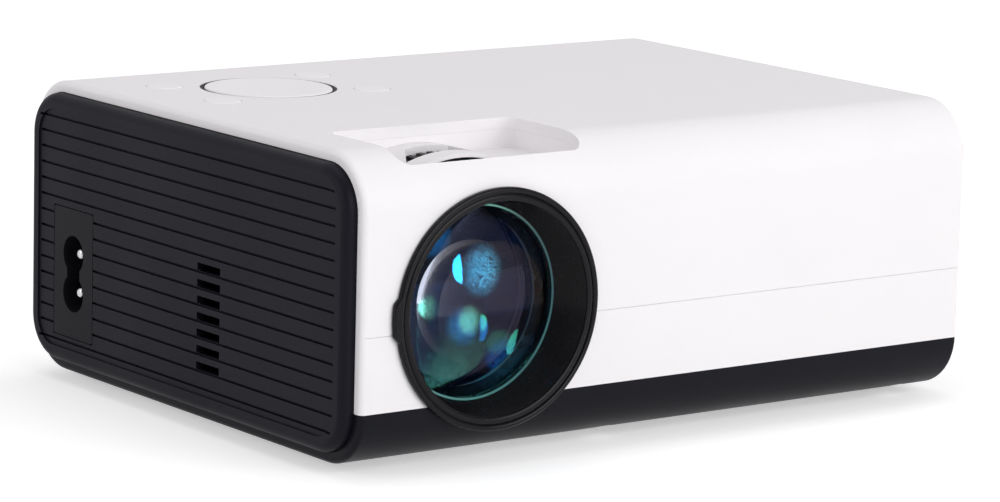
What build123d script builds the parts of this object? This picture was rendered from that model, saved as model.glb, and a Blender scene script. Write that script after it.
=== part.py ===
from build123d import *
from math import asin, cos, pi, radians, sin
import os

# A small desktop projector with one lens at the left of its front.
# Frame: X to the right seen from the front, -Y towards the lens side, +Z up.
# The origin is on the ground, midway between the lens rim and the back.

# Body, a rounded tube lying along X
body_width = 159.7
body_depth = 126.9
body_height = 64.0
corner_radius = 12.0
wall = 2.4
end_round = 1.2
foot_height = 2.0
band_height = 12.0
seam_height = 27.6
seam_gap = 0.16
seam_depth = 0.25

# Lens axis, measured from the left end and down from the body's middle
lens_inset = 32.95
lens_drop = 1.4
rim_lip = 2.25
rim_thickness = 1.1
rim_proud = 1.45
barrel_radius = 22.8
barrel_length = 30.0
barrel_skin = 1.9
ridge_count = 12
slide_fit = 0.08
guide_wall = 1.52
guide_start = 5.5
lug_height = 7.0
lug_reach = 1.0
lug_sink = 0.35

# Focus ring, its depths measured back from the front face
ring_fit = 0.08
ring_wall = 4.17
ring_clear = 0.35
ring_start = 13.15
ring_width = 11.5
ring_play = 0.3
tooth_depth = 0.75
tooth_count = 68
focus_angle = 100.0
focus_travel = 5.0
pin_radius = 1.2
pin_start = 21.4
pin_count = 3
pin_root = 1.3
groove_clear = 0.25
groove_sink = 1.7
groove_extra = 3.6
groove_steps = 20
clip_rise = 0.8
clip_thick = 1.2

# Lens mount behind the ring
mount_plate = 3.0
plate_lip = 2.6
plate_rise = 7.0
plate_corner = 4.0
plate_screw_inset = 4.0
mount_head = 2.3
mount_head_sink = 1.8

# Glass and its rings, depths measured back from the rim
glass_sink = 9.3
glass_bulge = 3.6
glass_belly = 3.2
seat_lip = 0.5
glass_edge = 3.4
retainer_lip = 2.2
stop_start = 15.2
stop_thick = 1.5
stop_radius = 16.4
rear_bore = 17.6
middle_edge = 2.8
rear_edge = 3.0
spacer_lip = 1.6
spacer_length = 4.0
glass_play = 0.1
seat_play = 0.05

# Finger recess over the focus ring, its sides measured from the lens axis and its floor from the lens guide
recess_left = 21.8
recess_right = 24.5
recess_front = 3.95
recess_back = 30.0
recess_seat = 2.6
recess_wall = 1.6
recess_corner = 3.0
tub_fit = 0.02
hood_wall = 0.8
hood_front = 13.4
window_front = 18.3
window_back = 25.6
window_front_half = 10.2
window_back_half = 5.5

# End panels
panel_gap = 0.15
panel_seat = 3.0
panel_proud = 2.8
panel_wall = 1.8
panel_round = 2.0
field_step = 0.4
field_rim = 3.4
groove_count = 15
groove_pitch = 3.5
groove_width = 0.55
groove_depth = 0.7
groove_margin = 0.7
ledge_height = 1.2
ledge_width = 1.5
vent_count = 7
vent_height = 1.9
vent_width = 8.7
vent_offset = -10.95
exhaust_width = 17.0
exhaust_gap = 4.0
exhaust_count = 13
rear_vent_count = 7
rear_vent_half = 18.0
rear_vent_rise = 4.0

# Skirt of the lower cover inside the base
lining_fit = 0.12
lining_wall = 1.6
lining_lap = 1.6

# Mains inlet, measured from the back and the underside
inlet_inset = 20.3
inlet_height = 22.9
inlet_width = 15.9
inlet_tall = 28.4
inlet_depth = 13.5
inlet_gap = 0.2
inlet_corner = 0.6
socket_lobe = 4.15
socket_waist = 2.6
socket_depth = 9.0
contact_pitch = 8.6
contact_radius = 1.2
contact_sink = 1.35
tail_length = 2.2
tail_half = 0.4

# Controls on the top, the round key placed from the lens axis
key_offset = 1.8
key_y = 24.5
key_radius = 13.95
key_hole = 14.95
key_thick = 1.9
key_proud = 0.15
key_travel = 0.5
key_gap = 0.2
key_dish = 140.0
key_dish_sink = 0.45
bezel_wall = 1.6
bezel_floor = 0.9
bezel_sink = 0.1
pivot_drop = 1.3
pivot_room = 2.3
trunnion = 0.6
trunnion_fit = 0.05
button_radius = 4.0
button_fit = 0.1
button_proud = 0.1
button_travel = 0.4
button_collar = 0.9
collar_drop = 1.3
button_dx = 19.3
button_dy = 11.6
key_board_drop = 6.0
board_post_dx = 24.9
board_post_dy = 16.2
board_post = 2.0
board_rim = 2.2

# Light engine behind the lens, measured back to front from the tunnel's rear end
lamp_space = 41.4
tunnel_wall = 1.6
tunnel_front = 2.0
tunnel_leg = 6.0
sheet_fit = 0.1
sheet_thick = 2.0
rear_sheet_back = 2.5
display_back = 7.5
display_thick = 3.0
display_sink = 0.4
display_half_x = 22.0
display_half_z = 15.0
front_sheet_back = 13.5
reflector_length = 17.5
reflector_wall = 1.5
lamp_half = 15.0
lamp_inner = 11.4
holder_depth = 6.0
holder_seat = 4.5
lamp_plate = 1.6
chip_half = 6.0
chip_rise = 0.9
sink_half = 18.6
sink_base = 3.0
sink_back = 0.6
fin_half = 0.6
fin_count = 9

# Fan at the right end
fan_size = 50.0
fan_depth = 12.0
fan_bore = 23.8
fan_tip = 23.0
fan_hub = 12.0
fan_web = 1.5
fan_play = 0.3
shaft_radius = 1.0
blade_count = 7
blade_thick = 1.1
blade_sweep = 10.0
blade_pitches = (52.0, 40.0, 30.0)

# Boards and the pillars between them
board_rise = 12.2
board_thick = 1.6
board_side_gap = 2.4
board_fan_gap = 2.05
board_start = 35.725
board_back_gap = 0.4
power_inset_x0 = 6.5
power_inset_x1 = 3.0
power_inset_y0 = 11.0
power_inset_y1 = 6.655
pillar_inset_x0 = 7.5
pillar_inset_x1 = 7.0
pillar_inset_y0 = 7.0
pillar_inset_y1 = 9.5
pillar_radius = 2.6
standoff_radius = 3.0
core_half_x = 12.0
core_half_y = 11.0
winding_half_x = 15.0
winding_half_y = 8.0
core_inset = 28.0
capacitor_inset_x = 12.0
capacitor_inset_y = 13.0
choke_offset = 2.0
choke_inset = 16.0
filter_inset_x = 8.0
filter_inset_y = 8.0
filter_width = 6.0
filter_length = 24.0

# Rear sockets: middle, width and height above the board
port_sink = 0.3
port_gap = 0.3
port_skin = 0.5
hdmi_x = 8.0
hdmi_width = 15.0
hdmi_tall = 5.6
hdmi_depth = 11.0
hdmi_cut = 1.6
usb_x = 29.0
usb_width = 13.2
usb_tall = 5.8
usb_depth = 13.0
usb_skin = 0.4
jack_x = 45.0
jack_radius = 3.2
jack_bore = 1.8
jack_nose = 3.0
jack_block = 14.0
card_x = -9.0
card_width = 12.4
card_tall = 2.0
card_depth = 14.0
eye_x = 57.0
eye_width = 7.0
eye_tall = 5.0
eye_rise = 1.0

# Fastenings, speaker, tripod thread and feet
screw_radius = 1.2
screw_fit = 0.05
screw_reach = 11.0
head_radius = 2.8
head_sink = 3.0
post_radius = 3.2
post_rise = 6.0
boss_wall = 0.8
speaker_x = 34.0
speaker_start = 23.0
speaker_length = 40.0
speaker_width = 20.0
speaker_height = 8.5
slot_pitch = 2.8
slot_half = 0.7
slot_reach = 13.0
slot_count = 6
tripod_y = 8.0
tripod_bore = 2.6
tripod_depth = 7.0
insert_radius = 4.2
rubber_radius = 6.0
rubber_inset_x = 17.0
rubber_inset_y = 26.5
rubber_sink = 0.8
rubber_edge = 0.5
tilt_x = 0.0
tilt_start = 28.6
tilt_boss = 6.0
tilt_boss_rise = 13.0
tilt_screw = 3.0
tilt_pad = 8.0
tilt_pad_thick = 2.6
tilt_pad_sink = 1.4
tilt_lift = 0.5
tilt_ribs = 24

# Heights and ends worked out from the sizes above
body_y = rim_proud / 2
bottom_z = foot_height
top_z = bottom_z + body_height
mid_z = bottom_z + body_height / 2
front_y = body_y - body_depth / 2
back_y = body_y + body_depth / 2
end_x = body_width / 2
field_x = end_x + panel_proud - field_step
band_z = bottom_z + band_height
seam_z = bottom_z + seam_height
inner_z = bottom_z + wall
roof_z = top_z - wall
lining_y = back_y - wall - lining_fit - lining_wall

# Lens and focus places
lens_x = -end_x + lens_inset
lens_z = mid_z - lens_drop
lens_height = lens_z - bottom_z
rim_radius = barrel_radius + rim_lip
rim_y = front_y - rim_proud
seat_radius = barrel_radius - barrel_skin
guide_radius = barrel_radius + slide_fit + guide_wall
ring_bore = guide_radius + ring_fit
tooth_radius = ring_bore + ring_wall
hood_bore = tooth_radius + ring_clear
hood_radius = hood_bore + hood_wall
ring_y0 = front_y + ring_start
ring_y1 = ring_y0 + ring_width
ring_space_y0 = ring_y0 - ring_play - 0.2
ring_space_y1 = ring_y1 + ring_play
pin_y = front_y + pin_start
recess_x0 = lens_x - recess_left
recess_x1 = lens_x + recess_right
recess_z = lens_z + guide_radius + recess_seat
plate_half_x = guide_radius + plate_lip
plate_half_z = lens_height - plate_rise
middle_start = stop_start + stop_thick + glass_play
spacer_start = middle_start + middle_edge + seat_play
rear_start = middle_start + middle_edge + spacer_length + 2 * seat_play

# Light engine places
tunnel_half_x = plate_half_x + 1.0
tunnel_half_z = plate_half_z - 1.0
tunnel_y0 = ring_space_y1 + mount_plate
tunnel_y1 = back_y - lamp_space
lamp_y = tunnel_y1 + reflector_length

# Controls, boards, inlet and feet places
key_x = lens_x + key_offset
key_top = top_z + key_proud
pivot_z = key_top - key_thick - pivot_drop
key_floor = pivot_z - pivot_room
key_board_z = roof_z - key_board_drop
inlet_y = back_y - inlet_inset
inlet_z = bottom_z + inlet_height
fan_x1 = end_x - panel_seat - ledge_width - fan_play
fan_x0 = fan_x1 - fan_depth
fan_y = body_y
fan_z = mid_z
board_x0 = lens_x + tunnel_half_x + board_side_gap
board_x1 = fan_x0 - board_fan_gap
board_y0 = front_y + board_start
board_y1 = lining_y - board_back_gap
power_z = mid_z + 1.0
power_x0 = board_x0 + power_inset_x0
power_x1 = board_x1 - power_inset_x1
power_y0 = board_y0 + power_inset_y0
power_y1 = board_y1 - power_inset_y1
power_x = (power_x0 + power_x1) / 2
core_y = power_y1 - core_inset
filter_x1 = power_x1 - filter_inset_x
filter_y0 = power_y0 + filter_inset_y
port_board_top = bottom_z + board_rise + board_thick
port_face = back_y - port_sink
speaker_y = front_y + speaker_start
post_foot = inner_z + post_rise
tilt_y = front_y + tilt_start
tilt_boss_top = inner_z + tilt_boss_rise
tilt_recess_z = bottom_z + tilt_pad_sink

# Screw posts of the case, and pillars between the boards
post_places = [
    (lens_x + 34.9, front_y + 10.4),
    (end_x - 9.9, front_y + 10.4),
    (end_x - 9.9, back_y - 8.5),
    (-end_x + 9.9, back_y - 7.2),
]
standoffs = [
    (x, y)
    for x in (board_x0 + pillar_inset_x0, board_x1 - pillar_inset_x1)
    for y in (board_y0 + pillar_inset_y0, power_y1 - pillar_inset_y1)
]


def block(x0, x1, y0, y1, z0, z1):
    """A box between two corners."""
    middle = Pos((x0 + x1) / 2, (y0 + y1) / 2, (z0 + z1) / 2)
    return middle * Box(x1 - x0, y1 - y0, z1 - z0)


def rod_x(y, z, radius, x0, x1):
    return extrude(Plane(origin=(x0, y, z), z_dir=(1, 0, 0)) * Circle(radius), x1 - x0)


def rod_y(x, z, radius, y0, y1):
    return extrude(Plane(origin=(x, y0, z), z_dir=(0, 1, 0)) * Circle(radius), y1 - y0)


def rod_z(x, y, radius, z0, z1):
    return extrude(Plane(origin=(x, y, z0)) * Circle(radius), z1 - z0)


def slab(x0, x1, inset):
    """A slice of the body's rounded outline, drawn in by inset, from x0 to x1."""
    plane = Plane(origin=(x0, body_y, mid_z), x_dir=(0, 1, 0), z_dir=(1, 0, 0))
    outline = RectangleRounded(
        body_depth - 2 * inset, body_height - 2 * inset, corner_radius - inset
    )
    return extrude(plane * outline, x1 - x0)


def tube():
    """The whole body as one rounded tube with soft end edges."""
    shape = slab(-end_x, end_x, 0)
    ends = shape.edges().filter_by(lambda e: abs(abs(e.center().X) - end_x) < 0.01)
    shape = fillet(ends, end_round)
    return shape - slab(-end_x - 1, end_x + 1, wall)


def ledges(inset):
    """A rib inside each end of the tube, which the end panel seats on."""
    seat = end_x - panel_seat
    shape = Part()
    for x0 in (-seat, seat - ledge_width):
        rib = slab(x0, x0 + ledge_width, inset)
        shape += rib - slab(x0 - 1, x0 + ledge_width + 1, wall + ledge_height)
    return shape


def slice_between(shape, z0, z1):
    reach = body_width
    return shape & block(-reach, reach, -reach, reach, z0, z1)


def seam_line():
    """A fine groove round the body where the two white covers meet."""
    reach = end_x + 1
    ring = slab(-reach, reach, -1) - slab(-reach - 1, reach + 1, seam_depth)
    return slice_between(ring, seam_z - seam_gap / 2, seam_z + seam_gap / 2)


def lens_hole():
    """The round hole in the front that the lens barrel slides through."""
    hole = barrel_radius + 0.6
    return rod_y(lens_x, lens_z, hole, front_y - 5, front_y + wall + 3)


def recess_pocket():
    """The space of the finger recess, from its floor up through the roof."""
    y0 = front_y + recess_front
    y1 = front_y + recess_back
    middle = Pos((recess_x0 + recess_x1) / 2, (y0 + y1) / 2, recess_z)
    outline = RectangleRounded(recess_x1 - recess_x0, y1 - y0, recess_corner)
    return extrude(middle * outline, body_height)


def ring_window():
    """The opening in the hood that shows the ring's teeth, narrower towards the back."""
    front = front_y + window_front
    back = front_y + window_back
    corners = [(-window_front_half, front), (window_front_half, front)]
    corners += [(window_back_half, back), (-window_back_half, back), (-window_front_half, front)]
    outline = make_face(Plane(origin=(lens_x, 0, lens_z)) * Polyline(corners))
    return extrude(outline, body_height)


def finger_tub():
    """Tub of the finger recess, fixed under the roof, with the arched hood over the focus ring."""
    y0 = front_y + recess_front
    y1 = front_y + recess_back
    tub = block(
        recess_x0 - recess_wall,
        recess_x1 + recess_wall,
        y0 - recess_wall,
        y1 + recess_wall,
        recess_z - recess_wall,
        top_z,
    )
    tub &= slab(-end_x, end_x, wall + tub_fit)
    tub -= recess_pocket()
    hood = rod_y(lens_x, lens_z, hood_radius, front_y + hood_front, y1 + 0.5)
    tub += hood & block(recess_x0, recess_x1, y0, y1 + 0.5, recess_z - 0.5, top_z)
    tub -= ring_space()
    return tub - ring_window()


def button_places():
    places = []
    for sx in (-1, 1):
        for sy in (-1, 1):
            places.append((key_x + sx * button_dx, key_y + sy * button_dy))
    return places


def top_cover():
    """White upper shell: roof, opening of the recess, control holes, screw posts and a rear vent."""
    shell = slice_between(tube() + ledges(wall - 0.2), seam_z, top_z + 1)
    shell -= recess_pocket()
    shell -= ring_space()
    shell -= lens_hole()
    shell -= seam_line()
    shell -= rod_z(key_x, key_y, key_hole, roof_z - 3, top_z + 1)
    for x, y in button_places():
        shell -= rod_z(x, y, button_radius + button_fit, roof_z - 3, top_z + 1)
    for x, y in post_places:
        post = rod_z(x, y, post_radius, post_foot, roof_z + 0.5)
        post -= rod_z(x, y, screw_radius + screw_fit, post_foot - 1, post_foot + screw_reach + 1)
        shell += post & slab(-end_x, end_x, wall / 2)
    for sx in (-1, 1):
        for sy in (-1, 1):
            x = key_x + sx * board_post_dx
            y = key_y + sy * board_post_dy
            shell += rod_z(x, y, board_post, key_board_z + board_thick, roof_z + 0.5)
    for k in range(rear_vent_count):
        z = seam_z + rear_vent_rise + k * groove_pitch
        shell -= block(
            lens_x - rear_vent_half,
            lens_x + rear_vent_half,
            back_y - wall - 1,
            back_y + 1,
            z,
            z + vent_height,
        )
    return shell


def port_hole(x, width, tall, z0):
    gap = port_gap
    return block(
        x - width / 2 - gap,
        x + width / 2 + gap,
        back_y - wall - 2,
        back_y + 1,
        z0 - gap,
        z0 + tall + gap,
    )


def ring_space():
    """The round space that the focus ring needs, where it dips into the floor."""
    return rod_y(lens_x, lens_z, hood_bore, ring_space_y0, ring_space_y1)


def lining():
    """A thin skirt of the lower cover inside the base, along both lower corners and round the ends."""
    seat = end_x - panel_seat
    skirt = slab(-seat, seat, wall + lining_fit)
    skirt -= slab(-seat - 1, seat + 1, wall + lining_wall)
    middle = body_depth / 2 - corner_radius
    skirt -= block(-seat, seat, body_y - middle, body_y + middle, bottom_z, band_z)
    skirt += ledges(wall + lining_fit)
    skirt = slice_between(skirt, bottom_z, band_z + lining_lap)
    for x, y in post_places:
        skirt -= rod_z(x, y, post_radius + boss_wall + 0.3, bottom_z, band_z)
    skirt -= rod_y(lens_x, lens_z, guide_radius + 0.4, front_y, front_y + corner_radius)
    return skirt


def lower_cover():
    """White lower band between the black base and the upper shell, with the rear socket holes."""
    shell = slice_between(tube() + ledges(wall - 0.2), band_z, seam_z)
    fill = slab(-end_x + panel_seat, end_x - panel_seat, wall - 0.2)
    fill -= slab(-end_x, end_x, wall + lining_fit + 0.1)
    shell += slice_between(fill, band_z, band_z + lining_lap)
    shell += lining()
    shell -= lens_hole()
    shell -= seam_line()
    shell -= port_hole(hdmi_x, hdmi_width, hdmi_tall, port_board_top)
    shell -= port_hole(usb_x, usb_width, usb_tall, port_board_top)
    shell -= port_hole(card_x, card_width, card_tall, port_board_top)
    shell -= port_hole(eye_x, eye_width, eye_tall, port_board_top + eye_rise)
    jack_z = port_board_top + jack_radius
    shell -= rod_y(jack_x, jack_z, jack_radius + port_gap, back_y - wall - 2, back_y + 1)
    return shell


def rubber_places():
    dx = end_x - rubber_inset_x
    dy = body_depth / 2 - rubber_inset_y
    return [(sx * dx, body_y + sy * dy) for sx in (-1, 1) for sy in (-1, 1)]


def base_tray():
    """Black tray: floor and lower band, with bosses for screws, boards, tripod and tilt foot."""
    tray = slice_between(tube(), bottom_z - 1, band_z)
    tray -= lens_hole()
    for x, y in post_places:
        tray += rod_z(x, y, post_radius + boss_wall, inner_z - 0.5, post_foot)
    for x, y in standoffs:
        tray += rod_z(x, y, standoff_radius, inner_z - 0.5, bottom_z + board_rise)
    tray += rod_z(0, tripod_y, insert_radius + 1.8, inner_z - 0.5, bottom_z + tripod_depth)
    tray += rod_z(tilt_x, tilt_y, tilt_boss, inner_z - 0.5, tilt_boss_top)
    for sy in (-1, 1):
        y = fan_y + sy * (fan_size / 2 - 8.0)
        rest = fan_z - fan_size / 2
        tray += block(fan_x0 - 1.6, fan_x1, y - 1.5, y + 1.5, inner_z - 0.5, rest)
        tray += block(fan_x0 - 1.6, fan_x0 - 0.1, y - 1.5, y + 1.5, inner_z - 0.5, rest + 4.0)
    for x, y in post_places:
        tray -= rod_z(x, y, screw_radius + 0.4, bottom_z - 1, post_foot + 1)
        tray -= rod_z(x, y, head_radius + 0.3, bottom_z - 1, bottom_z + head_sink)
    tray -= rod_z(0, tripod_y, insert_radius, bottom_z - 1, bottom_z + tripod_depth - 1.0)
    tray -= rod_z(tilt_x, tilt_y, tilt_screw + 0.08, bottom_z - 1, tilt_boss_top + 1)
    tray -= rod_z(tilt_x, tilt_y, tilt_pad + 0.8, bottom_z - 1, tilt_recess_z)
    for x, y in rubber_places():
        tray -= rod_z(x, y, rubber_radius, bottom_z - 1, bottom_z + rubber_sink)
    tray -= ring_space()
    for k in range(slot_count):
        y = speaker_y + (k - (slot_count - 1) / 2) * slot_pitch
        x0 = speaker_x - slot_reach
        x1 = speaker_x + slot_reach
        tray -= block(x0, x1, y - slot_half, y + slot_half, bottom_z - 1, inner_z + 1)
    return tray


def end_panel(side):
    """A black ribbed end panel: a shallow cap seated in the tube's end, with a soft raised rim."""
    inset = wall + panel_gap
    x_in = end_x - panel_seat
    x_out = end_x + panel_proud
    cap = slab(x_in, x_out, inset)
    outer = cap.edges().filter_by(lambda e: abs(e.center().X - x_out) < 0.01)
    cap = fillet(outer, panel_round)
    cap -= slab(x_in - 1, x_out - field_step - panel_wall, inset + panel_wall)
    cap -= slab(x_out - field_step, x_out + 1, inset + field_rim)
    half = body_depth / 2 - inset - field_rim - groove_margin
    for k in range(groove_count):
        z = groove_z(k)
        cap -= block(
            x_out - field_step - groove_depth,
            x_out + 1,
            body_y - half,
            body_y + half,
            z - groove_width / 2,
            z + groove_width / 2,
        )
    if side < 0:
        cap = mirror(cap, Plane.YZ)
    return cap


def groove_z(k):
    return mid_z + groove_pitch * ((groove_count - 1) / 2 - k)


def vent_row(row, y, width):
    """One through slot whose lower edge lies on a groove."""
    z = groove_z(row)
    x1 = end_x + panel_proud + 1
    return block(end_x, x1, y - width / 2, y + width / 2, z, z + vent_height)


def left_panel():
    panel = end_panel(-1)
    first = (groove_count - 1) // 2
    for k in range(vent_count):
        slot = vent_row(first + k, body_y + vent_offset, vent_width)
        panel -= mirror(slot, Plane.YZ)
    plate = block(
        -end_x - panel_proud - 1,
        -end_x + panel_seat + 1,
        inlet_y - inlet_width / 2 - inlet_gap,
        inlet_y + inlet_width / 2 + inlet_gap,
        inlet_z - inlet_tall / 2 - inlet_gap,
        inlet_z + inlet_tall / 2 + inlet_gap,
    )
    return panel - plate


def right_panel():
    panel = end_panel(1)
    first = (groove_count - exhaust_count) // 2
    for k in range(exhaust_count):
        for sy in (-1, 1):
            y = body_y + sy * (exhaust_width + exhaust_gap) / 2
            panel -= vent_row(first + k, y, exhaust_width)
    return panel


def ac_inlet():
    """Two-pin mains inlet: flush plate, moulded body and a socket shaped like a figure of eight."""
    body = block(
        -field_x,
        -field_x + inlet_depth,
        inlet_y - inlet_width / 2,
        inlet_y + inlet_width / 2,
        inlet_z - inlet_tall / 2,
        inlet_z + inlet_tall / 2,
    )
    upright = body.edges().filter_by(Axis.X)
    body = fillet(upright, inlet_corner)
    socket = Part()
    for s in (-1, 1):
        z = inlet_z + s * contact_pitch / 2
        socket += rod_x(inlet_y, z, socket_lobe, -field_x - 1, -field_x + socket_depth)
        body -= rod_x(inlet_y, z, contact_radius, -field_x, -field_x + inlet_depth + 1)
    socket += block(
        -field_x - 1,
        -field_x + socket_depth,
        inlet_y - socket_waist,
        inlet_y + socket_waist,
        inlet_z - contact_pitch / 2,
        inlet_z + contact_pitch / 2,
    )
    return body - socket


def inlet_pins():
    """The inlet's two round contacts, with a flat solder tail behind each."""
    pins = []
    for s in (-1, 1):
        z = inlet_z + s * contact_pitch / 2
        pin = rod_x(inlet_y, z, contact_radius, -field_x + contact_sink, -field_x + inlet_depth)
        tip = pin.edges().sort_by(Axis.X)[0]
        pin = fillet(tip, contact_radius * 0.6)
        pin += block(
            -field_x + inlet_depth - 0.2,
            -field_x + inlet_depth + tail_length,
            inlet_y - contact_radius * 0.9,
            inlet_y + contact_radius * 0.9,
            z - tail_half,
            z + tail_half,
        )
        pins.append(pin)
    return Compound(children=pins)


def turned(points, x=lens_x, z=lens_z, y=rim_y):
    """A ring turned about the lens axis from (radius, depth behind the rim) points."""
    plane = Plane(origin=(x, y, z), x_dir=(1, 0, 0), z_dir=(0, 0, 1))
    outline = make_face(plane * Polyline(points + [points[0]]))
    return revolve(outline, Axis((x, y, z), (0, 1, 0)), 360)


def lens_barrel():
    """Sliding barrel: stepped front rim, ridged hood, seats for the glass, holes for the drive pins."""
    r = rim_radius
    mouth = rim_radius - 2.75
    throat = seat_radius - seat_lip
    points = [(r, 0.45), (r - 0.35, 0.1), (r - 1.0, 0.0), (r - 1.25, 0.35), (r - 1.55, 0.35)]
    points += [(r - 1.8, 0.05), (r - 2.4, 0.0), (mouth, 0.3)]
    for k in range(ridge_count):
        a = k / ridge_count
        b = (k + 0.65) / ridge_count
        depth = 0.35 + (glass_sink - 0.55) * b
        points.append((mouth + (throat - mouth) * a, depth))
        points.append((mouth + (throat - mouth) * (k + 1) / ridge_count, depth))
    stop_end = stop_start + stop_thick
    points += [(throat, glass_sink - 0.1), (seat_radius, glass_sink - 0.1), (seat_radius, stop_start)]
    points += [(stop_radius, stop_start), (stop_radius, stop_end), (rear_bore, stop_end)]
    points.append((rear_bore, barrel_length))
    points += [(barrel_radius, barrel_length), (barrel_radius, rim_thickness), (r, rim_thickness)]
    barrel = turned(points)
    lug_y = rim_y + lug_sink
    lug = block(
        lens_x - r - lug_reach,
        lens_x - r + 1.5,
        lug_y,
        rim_y + rim_thickness,
        lens_z - lug_height / 2,
        lens_z + lug_height / 2,
    )
    barrel += lug & rod_y(lens_x, lens_z, r + lug_reach, lug_y, rim_y + rim_thickness)
    for k in range(pin_count):
        barrel -= drive_pin(k)
    return barrel


def drive_pin(k):
    """A radial pin from the barrel through the guide's slot into the focus ring's groove."""
    angle = radians(90 + 360 * k / pin_count)
    out = Vector(cos(angle), 0, sin(angle))
    root = barrel_radius - pin_root
    start = Vector(lens_x, pin_y, lens_z) + out * root
    reach = ring_bore + groove_sink - 0.3 - root
    plane = Plane(origin=start, x_dir=(0, 1, 0), z_dir=out)
    return extrude(plane * Circle(pin_radius), reach)


def focus_pins():
    return Compound(children=[drive_pin(k) for k in range(pin_count)])


def lens_guide():
    """Fixed guide tube and square mounting plate that carry the sliding barrel and the focus ring."""
    back = ring_space_y1
    y0 = front_y + guide_start
    y1 = back + mount_plate
    guide = rod_y(lens_x, lens_z, guide_radius, y0, back)
    plate = block(
        lens_x - plate_half_x,
        lens_x + plate_half_x,
        back,
        y1,
        lens_z - plate_half_z,
        lens_z + plate_half_z,
    )
    corners = plate.edges().filter_by(Axis.Y)
    guide += fillet(corners, plate_corner)
    guide -= rod_y(lens_x, lens_z, barrel_radius + slide_fit, y0 - 1, y1 + 1)
    half = pin_radius + groove_clear
    for k in range(pin_count):
        front = pin_y - focus_travel - half
        slot = block(-half, half, front, pin_y + half, guide_radius - 4, guide_radius + 2)
        slot = Rot(0, 360 * k / pin_count, 0) * slot
        guide -= Pos(lens_x, 0, lens_z) * slot
    for x, z in plate_screws():
        guide -= rod_y(x, z, screw_radius + 0.2, back - 1, y1 + 1)
        guide -= rod_y(x, z, mount_head + 0.2, back - 1, back + mount_head_sink)
    return guide


def plate_screws():
    places = []
    for sx in (-1, 1):
        for sz in (-1, 1):
            x = lens_x + sx * (plate_half_x - plate_screw_inset)
            z = lens_z + sz * (plate_half_z - plate_screw_inset)
            places.append((x, z))
    return places


def retaining_ring():
    """Spring ring that keeps the focus ring on the guide."""
    y1 = ring_y0 - ring_play
    y0 = y1 - clip_thick
    ring = rod_y(lens_x, lens_z, guide_radius + clip_rise, y0, y1)
    return ring - rod_y(lens_x, lens_z, guide_radius + 0.02, y0 - 1, y1 + 1)


def helix_cutter(k):
    """A helical bar that follows the drive pin as the ring turns, for cutting the cam groove."""
    sections = []
    half = pin_radius + groove_clear
    middle = ring_bore + groove_sink - 1.5
    for n in range(groove_steps + 1):
        turn = -groove_extra + (focus_angle + 2 * groove_extra) * n / groove_steps
        angle = radians(90 + 360 * k / pin_count) + radians(turn)
        y = pin_y - focus_travel * turn / focus_angle
        out = Vector(cos(angle), 0, sin(angle))
        origin = Vector(lens_x, y, lens_z) + out * middle
        plane = Plane(origin=origin, x_dir=out, z_dir=out.cross(Vector(0, 1, 0)))
        sections.append(plane * Rectangle(2 * 1.5, 2 * half))
    return loft(sections, ruled=True)


def focus_ring():
    """Toothed focus ring with three helical cam grooves in its bore."""
    pitch = 2 * pi / tooth_count
    root = tooth_radius - tooth_depth
    points = []
    for k in range(tooth_count):
        a = pi / 2 + k * pitch
        points.append((root, a - 0.34 * pitch))
        points.append((tooth_radius, a - 0.22 * pitch))
        points.append((tooth_radius, a + 0.22 * pitch))
        points.append((root, a + 0.34 * pitch))
    points.append(points[0])
    plane = Plane(origin=(lens_x, ring_y0, lens_z), x_dir=(1, 0, 0), z_dir=(0, 1, 0))
    outline = Polyline([(r * cos(a), r * sin(a)) for r, a in points])
    ring = extrude(plane * make_face(outline), ring_width)
    ring -= rod_y(lens_x, lens_z, ring_bore, ring_y0 - 1, ring_y1 + 1)
    for k in range(pin_count):
        ring -= helix_cutter(k)
    return ring


def dome(radius, edge, sag):
    """One spherical face in section, from the axis out to its edge, with its pole standing off by sag."""
    pole = edge + sag
    if abs(sag) < 0.05:
        return Line((0, edge), (radius, edge))
    ball = (radius**2 + sag**2) / (2 * abs(sag))
    half_turn = asin(radius / ball) / 2
    rise = ball * (1 - cos(half_turn))
    middle = (ball * sin(half_turn), pole - rise if sag > 0 else pole + rise)
    return ThreePointArc((0, pole), middle, (radius, edge))


def element(radius, edge0, edge1, front_sag, back_sag, front_rim=0.0, back_rim=0.0):
    """A round lens with its edge from depth edge0 to edge1 behind the front rim, and flat rims."""
    plane = Plane(origin=(lens_x, rim_y, lens_z), x_dir=(1, 0, 0), z_dir=(0, 0, 1))
    lines = dome(radius - front_rim, edge0, -front_sag)
    if front_rim > 0:
        lines += Line((radius - front_rim, edge0), (radius, edge0))
    lines += Line((radius, edge0), (radius, edge1))
    if back_rim > 0:
        lines += Line((radius, edge1), (radius - back_rim, edge1))
    lines += dome(radius - back_rim, edge1, back_sag)
    lines += Line((0, edge1 + back_sag), (0, edge0 - front_sag))
    return revolve(make_face(plane * lines), Axis((lens_x, rim_y, lens_z), (0, 1, 0)), 360)


def front_lens():
    radius = seat_radius - glass_play
    back = glass_sink + glass_edge
    rim = retainer_lip + glass_play
    lip = seat_lip + glass_play
    return element(radius, glass_sink, back, glass_bulge, glass_belly, lip, rim)


def lens_retainer():
    """Threaded ring behind the front glass."""
    d0 = glass_sink + glass_edge + seat_play
    d1 = d0 + 2.0
    r = seat_radius - seat_play
    inner = r - retainer_lip
    return turned([(inner, d0 + 0.6), (inner + 0.6, d0), (r, d0), (r, d1), (inner, d1)])


def middle_lens():
    radius = rear_bore - glass_play
    back = middle_start + middle_edge
    return element(radius, middle_start, back, -0.9, -1.0, spacer_lip, spacer_lip + glass_play)


def lens_spacer():
    d1 = spacer_start + spacer_length
    r = rear_bore - seat_play
    inner = r - spacer_lip
    return turned([(inner, spacer_start), (r, spacer_start), (r, d1), (inner, d1)])


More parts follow.
